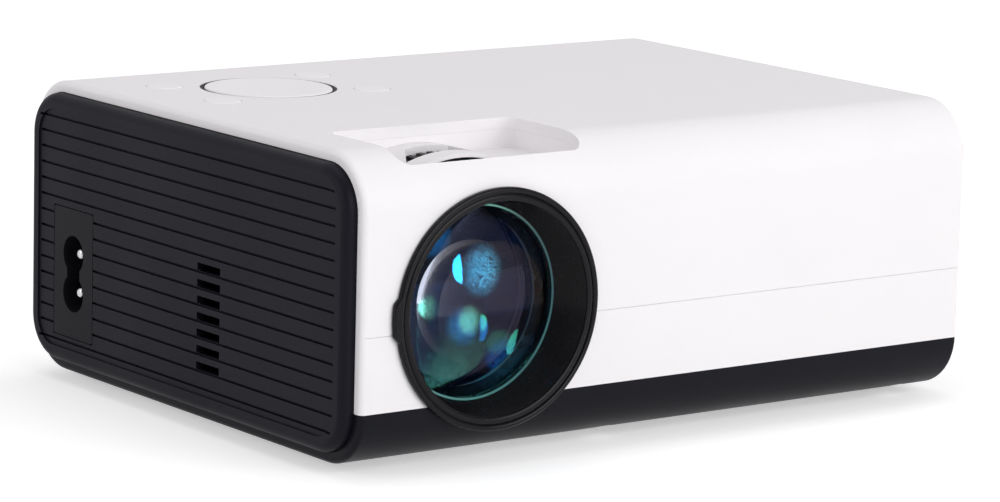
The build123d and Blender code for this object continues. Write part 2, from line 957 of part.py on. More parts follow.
def rear_lens():
    rim = spacer_lip + glass_play
    back = rear_start + rear_edge
    return element(rear_bore - glass_play, rear_start, back, 2.4, 2.6, rim, rim)


def rear_retainer():
    """Threaded ring behind the rear glass."""
    d0 = rear_start + rear_edge + seat_play
    r = rear_bore - seat_play
    inner = r - spacer_lip
    return turned([(inner, d0), (r, d0), (r, d0 + 1.8), (inner, d0 + 1.8)])


def optics_box():
    """Dark light tunnel from the lens mount to the panel, standing on four legs."""
    front = block(
        lens_x - tunnel_half_x,
        lens_x + tunnel_half_x,
        tunnel_y0,
        tunnel_y0 + tunnel_front,
        lens_z - tunnel_half_z - 1.0,
        lens_z + tunnel_half_z + 1.0,
    )
    box = front + block(
        lens_x - tunnel_half_x,
        lens_x + tunnel_half_x,
        tunnel_y0,
        tunnel_y1,
        lens_z - tunnel_half_z,
        lens_z + tunnel_half_z,
    )
    for sx in (-1, 1):
        for y in (tunnel_y0, tunnel_y1 - tunnel_leg):
            half = tunnel_leg / 2
            x = lens_x + sx * (tunnel_half_x - half)
            foot = lens_z - tunnel_half_z + 0.5
            box += block(x - half, x + half, y, y + tunnel_leg, inner_z, foot)
    box -= block(
        lens_x - tunnel_half_x + tunnel_wall,
        lens_x + tunnel_half_x - tunnel_wall,
        tunnel_y0 + tunnel_front,
        tunnel_y1 + 1,
        lens_z - tunnel_half_z + tunnel_wall,
        lens_z + tunnel_half_z - tunnel_wall,
    )
    box -= rod_y(lens_x, lens_z, barrel_radius - 3.0, tunnel_y0 - 1, tunnel_y0 + 3)
    box -= rod_y(lens_x, lens_z, barrel_radius + slide_fit, tunnel_y0 - 1, tunnel_y0 + 1.4)
    for x, z in plate_screws():
        box -= rod_y(x, z, screw_radius + screw_fit, tunnel_y0 - 1, tunnel_y0 + 3)
    return box


def sheet(back, thick):
    """A flat sheet across the tunnel, its rear face this far in front of the tunnel's end."""
    dx = tunnel_half_x - tunnel_wall - sheet_fit
    dz = tunnel_half_z - tunnel_wall - sheet_fit
    y1 = tunnel_y1 - back
    return block(lens_x - dx, lens_x + dx, y1 - thick, y1, lens_z - dz, lens_z + dz)


def front_fresnel():
    return sheet(front_sheet_back, sheet_thick)


def lcd_panel():
    """Display panel: a glass sheet in a thin frame that stands out all round it."""
    y0 = tunnel_y1 - display_back - display_thick
    window = block(
        lens_x - display_half_x,
        lens_x + display_half_x,
        y0 - 1,
        y0 + display_sink,
        lens_z - display_half_z,
        lens_z + display_half_z,
    )
    return sheet(display_back, display_thick) - window


def rear_fresnel():
    return sheet(rear_sheet_back, sheet_thick)


def funnel(wide_x, wide_z, narrow):
    """A four-sided frustum from the tunnel's rear end to the lamp, by its half widths."""
    near = Plane(origin=(lens_x, tunnel_y1, lens_z), x_dir=(1, 0, 0), z_dir=(0, 1, 0))
    far = Plane(origin=(lens_x, lamp_y, lens_z), x_dir=(1, 0, 0), z_dir=(0, 1, 0))
    wide = near * Rectangle(2 * wide_x, 2 * wide_z)
    return loft([wide, far * Rectangle(2 * narrow, 2 * narrow)], ruled=True)


def reflector():
    """Four-sided funnel that spreads the lamp's light over the panel."""
    x = tunnel_half_x - 0.5
    z = tunnel_half_z - 0.5
    outer = funnel(x, z, lamp_inner + 0.5 + reflector_wall)
    return outer - funnel(x - reflector_wall, z - reflector_wall, lamp_inner + 0.5)


def led_holder():
    """Square holder that clamps the condenser lens in front of the lamp."""
    y1 = lamp_y + holder_depth
    body = block(
        lens_x - lamp_half, lens_x + lamp_half, lamp_y, y1, lens_z - lamp_half, lens_z + lamp_half
    )
    body -= rod_y(lens_x, lens_z, lamp_inner, lamp_y - 1, lamp_y + holder_seat)
    body -= rod_y(lens_x, lens_z, lamp_inner - 2.0, lamp_y, y1 + 1)
    return body


def condenser_lens():
    """Domed lens in the holder, flat towards the lamp."""
    depth = lamp_y - rim_y
    back = depth + holder_seat - glass_play
    return element(lamp_inner - glass_play, back - 2.4, back, 4.0, 0.0)


def led_module():
    """Lamp: an aluminium board with a square light-emitting chip."""
    y0 = lamp_y + holder_depth
    plate = block(
        lens_x - lamp_half,
        lens_x + lamp_half,
        y0,
        y0 + lamp_plate,
        lens_z - lamp_half,
        lens_z + lamp_half,
    )
    chip = block(
        lens_x - chip_half,
        lens_x + chip_half,
        y0 - chip_rise,
        y0 + 0.1,
        lens_z - chip_half,
        lens_z + chip_half,
    )
    return plate + chip


def heat_sink():
    """Finned aluminium block behind the lamp."""
    y0 = lamp_y + holder_depth + lamp_plate
    y1 = lining_y - sink_back
    half = sink_half
    sink = block(lens_x - half, lens_x + half, y0, y0 + sink_base, lens_z - half, lens_z + half)
    for k in range(fin_count):
        x = lens_x + (half - fin_half) * (2 * k / (fin_count - 1) - 1)
        fin = block(x - fin_half, x + fin_half, y0 + 1, y1, lens_z - half, lens_z + half)
        sink += fin
    return sink


def nav_bezel():
    """Dark cup under the round key, with a thin sleeve that lines the hole in the roof."""
    cup = rod_z(key_x, key_y, key_hole + bezel_wall, key_floor - bezel_floor, roof_z)
    cup += rod_z(key_x, key_y, key_hole - button_fit, roof_z - 0.5, top_z - bezel_sink)
    cup -= rod_z(key_x, key_y, key_radius + key_gap, key_floor, top_z + 1)
    return cup - rod_z(key_x, key_y, 4.0, key_floor - 2, key_floor + 1)


def nav_carrier():
    """Plunger under the key, with a trunnion on each side."""
    carrier = rod_z(key_x, key_y, 3.4, key_floor - 0.2, pivot_z + 0.7)
    return carrier + rod_x(key_y, pivot_z, trunnion, key_x - 6.0, key_x + 6.0)


def nav_rocker():
    """Gimbal ring between plunger and key, turning on the plunger's trunnions."""
    ring = rod_z(key_x, key_y, 7.4, pivot_z - 0.9, pivot_z + 0.8)
    ring -= rod_z(key_x, key_y, 4.4, pivot_z - 2, pivot_z + 2)
    ring -= rod_x(key_y, pivot_z, trunnion + trunnion_fit, key_x - 8, key_x + 8)
    for s in (-1, 1):
        middle = key_y + s * 8.2
        ring += rod_y(key_x, pivot_z, trunnion, middle - 1.8, middle + 1.8)
    return ring


def nav_disc():
    """Round key with a dished top, hung on the gimbal by two eyes."""
    disc = rod_z(key_x, key_y, key_radius, key_top - key_thick, key_top)
    edge = disc.edges().sort_by(Axis.Z)[-1]
    disc = fillet(edge, 0.5)
    disc -= Pos(key_x, key_y, key_top + key_dish - key_dish_sink) * Sphere(key_dish)
    for s in (-1, 1):
        y = key_y + s * 9.0
        under = key_top - key_thick + 0.2
        disc += block(key_x - 1.6, key_x + 1.6, y - 0.9, y + 0.9, pivot_z - 1.2, under)
    return disc - rod_y(key_x, pivot_z, trunnion + trunnion_fit, key_y - 12, key_y + 12)


def button(x, y):
    """Round push button with a collar under the roof."""
    cap = rod_z(x, y, button_radius, roof_z - collar_drop, top_z + button_proud)
    edge = cap.edges().sort_by(Axis.Z)[-1]
    cap = fillet(edge, 0.35)
    collar = rod_z(x, y, button_radius + button_collar, roof_z - collar_drop, roof_z - 0.3)
    return cap + collar


def key_board():
    """Circuit board under the controls, with a push switch below each."""
    board = block(
        key_x - board_post_dx - board_rim,
        key_x + board_post_dx + board_rim,
        key_y - board_post_dy - board_rim,
        key_y + board_post_dy + board_rim,
        key_board_z,
        key_board_z + board_thick,
    )
    switch_top = roof_z - collar_drop - button_travel - 0.1
    for x, y in button_places():
        board += block(x - 3, x + 3, y - 3, y + 3, key_board_z + 0.5, switch_top - 0.7)
        board += rod_z(x, y, 1.5, key_board_z + 0.5, switch_top)
    dome_top = key_floor - 0.2 - key_travel - 0.1
    return board + rod_z(key_x, key_y, 3.0, key_board_z + 0.5, dome_top)


def fan_frame():
    """Square fan housing with a round duct, four struts and a motor boss."""
    h = fan_size / 2
    frame = block(fan_x0, fan_x1, fan_y - h, fan_y + h, fan_z - h, fan_z + h)
    frame = fillet(frame.edges().filter_by(Axis.X), 3.0)
    frame -= rod_x(fan_y, fan_z, fan_bore, fan_x0 - 1, fan_x1 + 1)
    web = fan_x0 + fan_web
    reach = h - 0.8
    frame += block(fan_x0, web, fan_y - reach, fan_y + reach, fan_z - 1.2, fan_z + 1.2)
    frame += block(fan_x0, web, fan_y - 1.2, fan_y + 1.2, fan_z - reach, fan_z + reach)
    frame += rod_x(fan_y, fan_z, fan_hub, fan_x0, web)
    frame -= rod_x(fan_y, fan_z, shaft_radius + 0.05, fan_x0 - 1, fan_x0 + 3)
    for sy in (-1, 1):
        for sz in (-1, 1):
            y = fan_y + sy * (h - 4)
            z = fan_z + sz * (h - 4)
            frame -= rod_x(y, z, 1.7, fan_x0 - 1, fan_x1 + 1)
    return frame


def fan_rotor():
    """Fan wheel: hub, shaft and swept blades."""
    x0 = fan_x0 + 2.0
    x1 = fan_x1 - 0.8
    rotor = rod_x(fan_y, fan_z, fan_hub - 0.4, x0, x1)
    rotor += rod_x(fan_y, fan_z, shaft_radius, fan_x0 + 0.1, x0 + 1)
    radii = (fan_hub - 1.5, (fan_hub + fan_tip) / 2, fan_tip)
    for k in range(blade_count):
        sections = []
        for r, pitch in zip(radii, blade_pitches):
            sweep_turn = blade_sweep * (r - fan_hub) / (fan_tip - fan_hub)
            angle = radians(360 * k / blade_count + sweep_turn)
            out = Vector(0, cos(angle), sin(angle))
            side = Vector(1, 0, 0).cross(out)
            tilt = radians(pitch)
            chord = Vector(1, 0, 0) * sin(tilt) + side * cos(tilt)
            origin = Vector((x0 + x1) / 2, fan_y, fan_z) + out * r
            length = (x1 - x0 - 1.6) / sin(tilt)
            plane = Plane(origin=origin, x_dir=chord, z_dir=out)
            sections.append(plane * Rectangle(length, blade_thick))
        rotor += loft(sections, ruled=True)
    duct = rod_x(fan_y, fan_z, fan_tip, x0, x1)
    shaft = rod_x(fan_y, fan_z, shaft_radius, fan_x0, x0 + 1)
    return rotor & (duct + shaft)


def main_board():
    """Main circuit board with its larger chips."""
    z0 = bottom_z + board_rise
    z1 = z0 + board_thick
    board = block(board_x0, board_x1, board_y0, board_y1, z0, z1)
    board += block(0, 16, 8, 24, z1 - 0.2, z1 + 1.2)
    board += block(26, 38, 14, 24, z1 - 0.2, z1 + 1.0)
    board += block(24, 36, -6, 2, z1 - 0.2, z1 + 1.0)
    board += rod_z(6, -8, 3.2, z1 - 0.2, z1 + 7.5)
    board += rod_z(15, -8, 3.2, z1 - 0.2, z1 + 7.5)
    board += block(-12, -6, 2, 20, z1 - 0.2, z1 + 4.0)
    for x, y in standoffs:
        board -= rod_z(x, y, screw_radius + 0.2, z0 - 1, z1 + 1)
    return board


def power_board():
    """Mains supply board with its transformer, smoothing capacitor and choke."""
    z0 = power_z
    z1 = z0 + board_thick
    board = block(power_x0, power_x1, power_y0, power_y1, z0, z1)
    x0 = power_x - core_half_x
    x1 = power_x + core_half_x
    board += block(x0, x1, core_y - core_half_y, core_y + core_half_y, z1 - 0.2, z1 + 16.0)
    x0 = power_x - winding_half_x
    x1 = power_x + winding_half_x
    board += block(x0, x1, core_y - winding_half_y, core_y + winding_half_y, z1 - 0.2, z1 + 11.0)
    board += rod_z(
        power_x0 + capacitor_inset_x, power_y1 - capacitor_inset_y, 8.0, z1 - 0.2, z1 + 18.0
    )
    board += rod_z(power_x - choke_offset, power_y0 + choke_inset, 6.0, z1 - 0.2, z1 + 12.0)
    x0 = filter_x1 - filter_width
    board += block(x0, filter_x1, filter_y0, filter_y0 + filter_length, z1 - 0.2, z1 + 15.0)
    for x, y in standoffs:
        board -= rod_z(x, y, screw_radius + 0.2, z0 - 1, z1 + 1)
    return board


def board_spacers():
    """Four pillars that carry the supply board over the main board."""
    z0 = port_board_top
    pillars = []
    for x, y in standoffs:
        pillar = rod_z(x, y, pillar_radius, z0, power_z)
        pillars.append(pillar)
    return Compound(children=pillars)


def board_screws():
    """Four screws down through the supply board into the pillars."""
    z1 = power_z + board_thick
    screws = []
    for x, y in standoffs:
        head = rod_z(x, y, pillar_radius, z1, z1 + 1.8)
        screws.append(head + rod_z(x, y, screw_radius, power_z + screw_fit, z1 + 0.5))
    return Compound(children=screws)


def hdmi_port():
    """Folded metal shell of the digital video socket, its lower corners cut away."""
    w = hdmi_width / 2
    h = hdmi_tall
    c = hdmi_cut
    outer = [(-w, h), (w, h), (w, 2.2), (w - c, 0.4), (w - c, 0.0)]
    outer += [(c - w, 0.0), (c - w, 0.4), (-w, 2.2), (-w, h)]
    t = port_skin
    inner = [(t - w, h - t), (w - t, h - t), (w - t, 2.4), (w - c - 0.3, t)]
    inner += [(c + 0.3 - w, t), (t - w, 2.4), (t - w, h - t)]
    plane = Plane(origin=(hdmi_x, port_face, port_board_top), x_dir=(1, 0, 0), z_dir=(0, -1, 0))
    shell = extrude(plane * make_face(Polyline(outer)), hdmi_depth)
    return shell - extrude(plane * make_face(Polyline(inner)), hdmi_depth - 1.5)


def hdmi_tongue():
    y0 = port_face - hdmi_depth + 1.5
    z = port_board_top + hdmi_tall / 2 + 0.6
    return block(hdmi_x - 5.6, hdmi_x + 5.6, y0, port_face - 1.6, z - 0.8, z + 0.8)


def usb_port():
    """Folded metal shell of the flat serial socket."""
    w = usb_width / 2
    y0 = port_face - usb_depth
    z0 = port_board_top
    z1 = z0 + usb_tall
    shell = block(usb_x - w, usb_x + w, y0, port_face, z0, z1)
    t = usb_skin
    w -= t
    return shell - block(usb_x - w, usb_x + w, y0 + 1.5, port_face + 1, z0 + t, z1 - t)


def usb_tongue():
    y0 = port_face - usb_depth + 1.5
    z = port_board_top + usb_tall - usb_skin - 0.55
    return block(usb_x - 5.4, usb_x + 5.4, y0, port_face - 1.2, z - 1.85, z)


def audio_jack():
    """Round 3.5 mm socket with its moulded block on the board."""
    r = jack_radius
    z = port_board_top + r
    y0 = port_face - jack_block
    y1 = port_face - jack_nose
    jack = rod_y(jack_x, z, r, y1, port_face)
    jack += block(jack_x - r, jack_x + r, y0, y1 + 0.1, port_board_top, z + r)
    return jack - rod_y(jack_x, z, jack_bore, y0 + 1, port_face + 1)


def card_slot():
    """Thin metal holder for a memory card."""
    w = card_width / 2
    y0 = port_face - card_depth
    z0 = port_board_top
    z1 = z0 + card_tall
    slot = block(card_x - w, card_x + w, y0, port_face, z0, z1)
    w -= port_skin
    return slot - block(card_x - w, card_x + w, y0 + 1, port_face + 1, z0 + 0.4, z1 - 0.3)


def remote_eye():
    """Dark window in front of the remote control receiver."""
    w = eye_width / 2
    y0 = port_face - 3.0
    z0 = port_board_top + eye_rise
    z1 = z0 + eye_tall
    eye = block(eye_x - w, eye_x + w, y0, port_face, z0, z1)
    eye = fillet(eye.edges().filter_by(Axis.Y), 1.2)
    stem = block(eye_x - 1.5, eye_x + 1.5, y0 - 3.0, y0 + 0.1, port_board_top, z1 - 1.0)
    return eye + stem


def speaker():
    """Oblong speaker firing down through the slots in the base."""
    half_w = speaker_width / 2
    plane = Plane(origin=(speaker_x, speaker_y, inner_z))
    basket = extrude(plane * SlotOverall(speaker_length, speaker_width), 3.0)
    basket -= extrude(plane * SlotOverall(speaker_length - 4, speaker_width - 4), 1.0)
    upper = Plane(origin=(speaker_x, speaker_y, inner_z + 2.9))
    basket += extrude(upper * SlotOverall(speaker_length - 10, speaker_width - 6), 2.2)
    magnet = rod_z(speaker_x, speaker_y, half_w - 3.0, inner_z + 5.0, inner_z + speaker_height)
    return basket + magnet


def tripod_insert():
    """Brass thread insert for a camera tripod."""
    z1 = bottom_z + tripod_depth - 1.0
    insert = rod_z(0, tripod_y, insert_radius - 0.02, bottom_z + 0.2, z1)
    return insert - rod_z(0, tripod_y, tripod_bore, bottom_z - 1, bottom_z + tripod_depth)


def rubber_feet():
    feet = []
    for x, y in rubber_places():
        foot = rod_z(x, y, rubber_radius - 0.1, 0, bottom_z + rubber_sink)
        bottom = foot.edges().sort_by(Axis.Z)[0]
        feet.append(chamfer(bottom, rubber_edge))
    return Compound(children=feet)


def tilt_sole():
    """Rubber sole of the tilt foot, which stays still while the screw above it turns."""
    sole = rod_z(tilt_x, tilt_y, tilt_pad - 0.8, tilt_lift, tilt_lift + 1.2)
    post = rod_z(tilt_x, tilt_y, 1.2, tilt_lift + 1.0, tilt_lift + tilt_pad_thick)
    return sole + post


def tilt_foot_screw():
    """Screw and ribbed wheel of the tilt foot."""
    z0 = tilt_lift + 1.35
    z1 = tilt_recess_z - 0.15
    points = []
    for k in range(tilt_ribs):
        a = 2 * pi * k / tilt_ribs
        points.append((tilt_pad * cos(a), tilt_pad * sin(a)))
        b = 2 * pi * (k + 0.5) / tilt_ribs
        points.append(((tilt_pad - 0.5) * cos(b), (tilt_pad - 0.5) * sin(b)))
    points.append(points[0])
    plane = Plane(origin=(tilt_x, tilt_y, z0))
    wheel = extrude(plane * make_face(Polyline(points)), z1 - z0)
    wheel += rod_z(tilt_x, tilt_y, tilt_screw, z0, tilt_boss_top - 0.5)
    return wheel - rod_z(tilt_x, tilt_y, 1.25, z0 - 1, tilt_lift + tilt_pad_thick + 0.3)


def case_screws():
    """Four long screws up through the base into the posts."""
    screws = []
    for x, y in post_places:
        z0 = bottom_z + head_sink
        screw = rod_z(x, y, head_radius, z0 - 2.0, z0)
        screw -= block(x - 1.6, x + 1.6, y - 0.35, y + 0.35, z0 - 3, z0 - 1.2)
        screw -= block(x - 0.35, x + 0.35, y - 1.6, y + 1.6, z0 - 3, z0 - 1.2)
        screws.append(screw + rod_z(x, y, screw_radius, z0 - 0.5, post_foot + screw_reach))
    return Compound(children=screws)


def mount_screws():
    """Four screws that hold the lens guide to the light tunnel."""
    seat = ring_space_y1 + mount_head_sink
    screws = []
    for x, z in plate_screws():
        head = rod_y(x, z, mount_head, ring_space_y1 + 0.2, seat)
        screws.append(head + rod_y(x, z, screw_radius, seat - 0.5, tunnel_y0 + 1.9))
    return Compound(children=screws)


makers = {
    "top_cover": top_cover,
    "finger_tub": finger_tub,
    "lower_cover": lower_cover,
    "base_tray": base_tray,
    "left_panel": left_panel,
    "right_panel": right_panel,
    "ac_inlet": ac_inlet,
    "inlet_pins": inlet_pins,
    "lens_barrel": lens_barrel,
    "focus_pins": focus_pins,
    "lens_guide": lens_guide,
    "retaining_ring": retaining_ring,
    "focus_ring": focus_ring,
    "front_lens": front_lens,
    "lens_retainer": lens_retainer,
    "middle_lens": middle_lens,
    "lens_spacer": lens_spacer,
    "rear_lens": rear_lens,
    "rear_retainer": rear_retainer,
    "optics_box": optics_box,
    "front_fresnel": front_fresnel,
    "lcd_panel": lcd_panel,
    "rear_fresnel": rear_fresnel,
    "reflector": reflector,
    "led_holder": led_holder,
    "condenser_lens": condenser_lens,
    "led_module": led_module,
    "heat_sink": heat_sink,
    "nav_bezel": nav_bezel,
    "nav_carrier": nav_carrier,
    "nav_rocker": nav_rocker,
    "nav_disc": nav_disc,
    "key_board": key_board,
    "fan_frame": fan_frame,
    "fan_rotor": fan_rotor,
    "main_board": main_board,
    "power_board": power_board,
    "board_spacers": board_spacers,
    "board_screws": board_screws,
    "hdmi_port": hdmi_port,
    "hdmi_tongue": hdmi_tongue,
    "usb_port": usb_port,
    "usb_tongue": usb_tongue,
    "audio_jack": audio_jack,
    "card_slot": card_slot,
    "remote_eye": remote_eye,
    "speaker": speaker,
    "tripod_insert": tripod_insert,
    "rubber_feet": rubber_feet,
    "tilt_sole": tilt_sole,
    "tilt_foot_screw": tilt_foot_screw,
    "case_screws": case_screws,
    "mount_screws": mount_screws,
}

os.makedirs("parts", exist_ok=True)
for name, make in makers.items():
    export_step(make(), f"parts/{name}.step")
button_names = ["menu_button", "power_button", "back_button", "source_button"]
for name, place in zip(button_names, button_places()):
    export_step(button(*place), f"parts/{name}.step")
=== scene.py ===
import bpy
import numpy as np
from mathutils import Matrix, Vector


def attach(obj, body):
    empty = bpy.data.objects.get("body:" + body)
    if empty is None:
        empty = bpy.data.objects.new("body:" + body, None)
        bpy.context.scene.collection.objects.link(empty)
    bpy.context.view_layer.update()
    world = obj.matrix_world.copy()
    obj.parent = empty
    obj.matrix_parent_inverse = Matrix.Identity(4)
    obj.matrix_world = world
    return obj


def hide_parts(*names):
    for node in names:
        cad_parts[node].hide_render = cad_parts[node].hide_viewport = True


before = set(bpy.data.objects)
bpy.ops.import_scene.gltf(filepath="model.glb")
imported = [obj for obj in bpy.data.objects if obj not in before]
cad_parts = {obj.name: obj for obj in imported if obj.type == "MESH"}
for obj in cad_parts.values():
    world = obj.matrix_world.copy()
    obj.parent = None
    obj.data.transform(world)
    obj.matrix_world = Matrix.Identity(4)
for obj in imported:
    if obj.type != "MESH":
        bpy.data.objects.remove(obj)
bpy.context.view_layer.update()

# Camera: a long lens on a stand at the projector's front left, a little above it.
# It looks down by its elevation and is turned slightly about its own line of sight.
eye = np.array([-0.558694, -0.747825, 0.202921])
azimuth, elevation, roll = np.radians([-36.785, 10.497, 1.545])
away = np.array([np.sin(azimuth) * np.cos(elevation), -np.cos(azimuth) * np.cos(elevation), np.sin(elevation)])
level = np.cross(-away, [0.0, 0.0, 1.0])
level /= np.linalg.norm(level)
upright = np.cross(level, -away)
stand = np.eye(4)
stand[:3, 0] = np.cos(roll) * level + np.sin(roll) * upright
stand[:3, 1] = np.cos(roll) * upright - np.sin(roll) * level
stand[:3, 2] = away
stand[:3, 3] = eye
camera = bpy.data.objects.new("camera", bpy.data.cameras.new("camera"))
camera.data.lens = 155.26
camera.data.sensor_width = 36.0
camera.data.clip_start = 0.01
camera.matrix_world = Matrix(stand.tolist())
bpy.context.collection.objects.link(camera)
bpy.context.scene.camera = camera
bpy.context.scene.view_settings.view_transform = "Standard"


# Studio: white paper under the projector, a broad soft box in front, one at each side and one overhead, in a room
# that is bright behind and dim in front. The paper keeps the projector's shadow and shows white in gloss.
projector_middle = Vector((0.0, 0.0, 0.03))
room_light = 0.47
dim_front = 0.32
paper_side = 3.0
paper_shine = 0.45


def add(tree, kind, settings=None, inputs=None):
    """One shader node: settings are its properties; inputs are constant values, or sockets to link from."""
    made = tree.nodes.new(kind)
    for key, value in (settings or {}).items():
        setattr(made, key, value)
    for key, value in (inputs or {}).items():
        if isinstance(value, bpy.types.NodeSocket):
            tree.links.new(value, made.inputs[key])
        else:
            made.inputs[key].default_value = value
    return made


def seen_directly(tree):
    """1 for rays that show a surface itself: to the camera, in a reflection or through glass."""
    path = add(tree, "ShaderNodeLightPath")
    gloss = add(tree, "ShaderNodeMath", {"operation": "MAXIMUM"}, {
        0: path.outputs["Is Camera Ray"], 1: path.outputs["Is Glossy Ray"]})
    return add(tree, "ShaderNodeMath", {"operation": "MAXIMUM"}, {
        0: gloss.outputs[0], 1: path.outputs["Is Transmission Ray"]}).outputs[0]


def softbox(name, place, width, height, power):
    """A flat rectangular lamp at place, facing the middle of the projector."""
    lamp = bpy.data.lights.new(name, "AREA")
    lamp.shape = "RECTANGLE"
    lamp.size = width
    lamp.size_y = height
    lamp.energy = power
    box = bpy.data.objects.new(name, lamp)
    box.location = place
    box.rotation_euler = (Vector(place) - projector_middle).to_track_quat("Z", "Y").to_euler()
    box.visible_camera = False
    bpy.context.collection.objects.link(box)


sky = bpy.data.worlds.new("studio")
sky.use_nodes = True
bpy.context.scene.world = sky
sky.node_tree.nodes.clear()
sky_side = add(sky.node_tree, "ShaderNodeSeparateXYZ", None, {
    0: add(sky.node_tree, "ShaderNodeTexCoord").outputs["Generated"]})
sky_shown = add(sky.node_tree, "ShaderNodeMapRange", {"interpolation_type": "SMOOTHSTEP"}, {
    "Value": sky_side.outputs["Y"], "From Min": -0.5, "From Max": 0.1, "To Min": dim_front, "To Max": 1.0})
sky_level = add(sky.node_tree, "ShaderNodeMix", {"data_type": "FLOAT"}, {
    "Factor": seen_directly(sky.node_tree), 2: room_light, 3: sky_shown.outputs[0]})
sky_light = add(sky.node_tree, "ShaderNodeBackground", None, {
    "Color": (0.985, 0.98, 1.0, 1), "Strength": sky_level.outputs[0]})
add(sky.node_tree, "ShaderNodeOutputWorld", None, {"Surface": sky_light.outputs[0]})

paper = bpy.data.meshes.new("paper")
corner_u, corner_v = np.meshgrid([-paper_side, paper_side], [-paper_side, paper_side])
paper_points = np.stack([corner_u, corner_v, np.zeros((2, 2))], -1).reshape(-1, 3)
paper.from_pydata(paper_points.tolist(), [], [[0, 1, 3, 2]])
floor = bpy.data.objects.new("paper", paper)
bpy.context.collection.objects.link(floor)
paper_white = bpy.data.materials.new("paper_white")
paper_white.use_nodes = True
paper_tree = paper_white.node_tree
paper_tree.nodes.clear()
paper_glow = add(paper_tree, "ShaderNodeMapRange", None, {
    "Value": seen_directly(paper_tree), "To Max": paper_shine})
paper_fibre = add(paper_tree, "ShaderNodeTexNoise", None, {"Scale": 60.0, "Detail": 6.0})
paper_colour = add(paper_tree, "ShaderNodeMapRange", None, {
    "Value": paper_fibre.outputs[0], "To Min": 0.78, "To Max": 0.82})
paper_shader = add(paper_tree, "ShaderNodeBsdfPrincipled", None, {
    "Base Color": paper_colour.outputs[0], "Roughness": 0.9, "Specular IOR Level": 0.1,
    "Emission Color": (1, 1, 1, 1), "Emission Strength": paper_glow.outputs[0]})
add(paper_tree, "ShaderNodeOutputMaterial", None, {"Surface": paper_shader.outputs[0]})
paper_white.cycles.emission_sampling = "NONE"
paper.materials.append(paper_white)

softbox("front_box", (0.25, -1.3, 0.50), 1.2, 0.9, 12.5)
softbox("left_box", (-1.3, 0.15, 0.5), 0.9, 0.7, 4.6)
softbox("right_box", (1.3, 0.3, 0.6), 0.9, 0.7, 3.0)
softbox("top_box", (0.0, 0.2, 1.3), 1.0, 0.8, 2.3)


# Base tray: black gloss-satin plastic, moulded in one piece with its screw bosses, and the floor of the case.
# Four screws come up through it into the posts of the upper shell.
def soft_edges():
    """Geometry nodes for a moulded part: triangles are joined, and shading runs over edges under 30 degrees."""
    tree = bpy.data.node_groups.new("soft_edges", "GeometryNodeTree")
    tree.interface.new_socket("Geometry", in_out="INPUT", socket_type="NodeSocketGeometry")
    tree.interface.new_socket("Geometry", in_out="OUTPUT", socket_type="NodeSocketGeometry")
    taken = add(tree, "NodeGroupInput")
    joined = add(tree, "GeometryNodeMergeByDistance", None, {"Geometry": taken.outputs[0], "Distance": 2e-6})
    bend = add(tree, "GeometryNodeInputMeshEdgeAngle")
    gentle = add(tree, "ShaderNodeMath", {"operation": "LESS_THAN"}, {
        0: bend.outputs["Unsigned Angle"], 1: np.radians(30.0)})
    edges = add(tree, "GeometryNodeSetShadeSmooth", {"domain": "EDGE"}, {
        "Geometry": joined.outputs[0], "Shade Smooth": gentle.outputs[0]})
    faces = add(tree, "GeometryNodeSetShadeSmooth", {"domain": "FACE"}, {"Geometry": edges.outputs[0]})
    add(tree, "NodeGroupOutput", None, {0: faces.outputs[0]})
    return tree


smoothing = soft_edges()


def dress(material, *names):
    """Gives CAD parts their finish and smooth curved faces, weighted so that flats stay flat."""
    for name in names:
        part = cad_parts[name]
        for place in part.material_slots:
            place.material = material
        part.modifiers.new("soft_edges", "NODES").node_group = smoothing
        weighted = part.modifiers.new("flat_faces", "WEIGHTED_NORMAL")
        weighted.keep_sharp = True
        weighted.weight = 80


def new_material(name):
    """An empty material; returns it and its node tree."""
    material = bpy.data.materials.new(name)
    material.use_nodes = True
    material.node_tree.nodes.clear()
    return material, material.node_tree


def new_group(name, wanted, given):
    """An empty shader group with its sockets; returns its tree, its input node and its output node."""
    tree = bpy.data.node_groups.new(name, "ShaderNodeTree")
    for label, value in wanted.items():
        kind = "NodeSocketVector" if isinstance(value, tuple) else "NodeSocketFloat"
        tree.interface.new_socket(label, in_out="INPUT", socket_type=kind).default_value = value
    for label in given:
        tree.interface.new_socket(label, in_out="OUTPUT", socket_type="NodeSocketFloat")
    return tree, add(tree, "NodeGroupInput"), add(tree, "NodeGroupOutput")


def moulded_grain():
    """Spark-eroded grain of a mould: fine noise over pits about three times as large, and slow clouds of sheen."""
    tree, taken, given = new_group("moulded_grain", {"Grains per metre": 5000.0}, ["Height", "Cloud"])
    place = add(tree, "ShaderNodeTexCoord").outputs["Object"]
    fine = add(tree, "ShaderNodeTexNoise", None, {
        "Vector": place, "Scale": taken.outputs[0], "Detail": 2.0, "Roughness": 0.6})
    coarse_scale = add(tree, "ShaderNodeMath", {"operation": "MULTIPLY"}, {0: taken.outputs[0], 1: 0.35})
    coarse = add(tree, "ShaderNodeTexVoronoi", {"feature": "SMOOTH_F1"}, {
        "Vector": place, "Scale": coarse_scale.outputs[0], "Smoothness": 0.6})
    both = add(tree, "ShaderNodeMath", {"operation": "MULTIPLY_ADD"}, {
        0: coarse.outputs["Distance"], 1: 0.7, 2: fine.outputs[0]})
    cloud = add(tree, "ShaderNodeTexNoise", None, {"Vector": place, "Scale": 35.0, "Detail": 4.0})
    tree.links.new(both.outputs[0], given.inputs["Height"])
    tree.links.new(cloud.outputs[0], given.inputs["Cloud"])
    return tree


grain_group = moulded_grain()


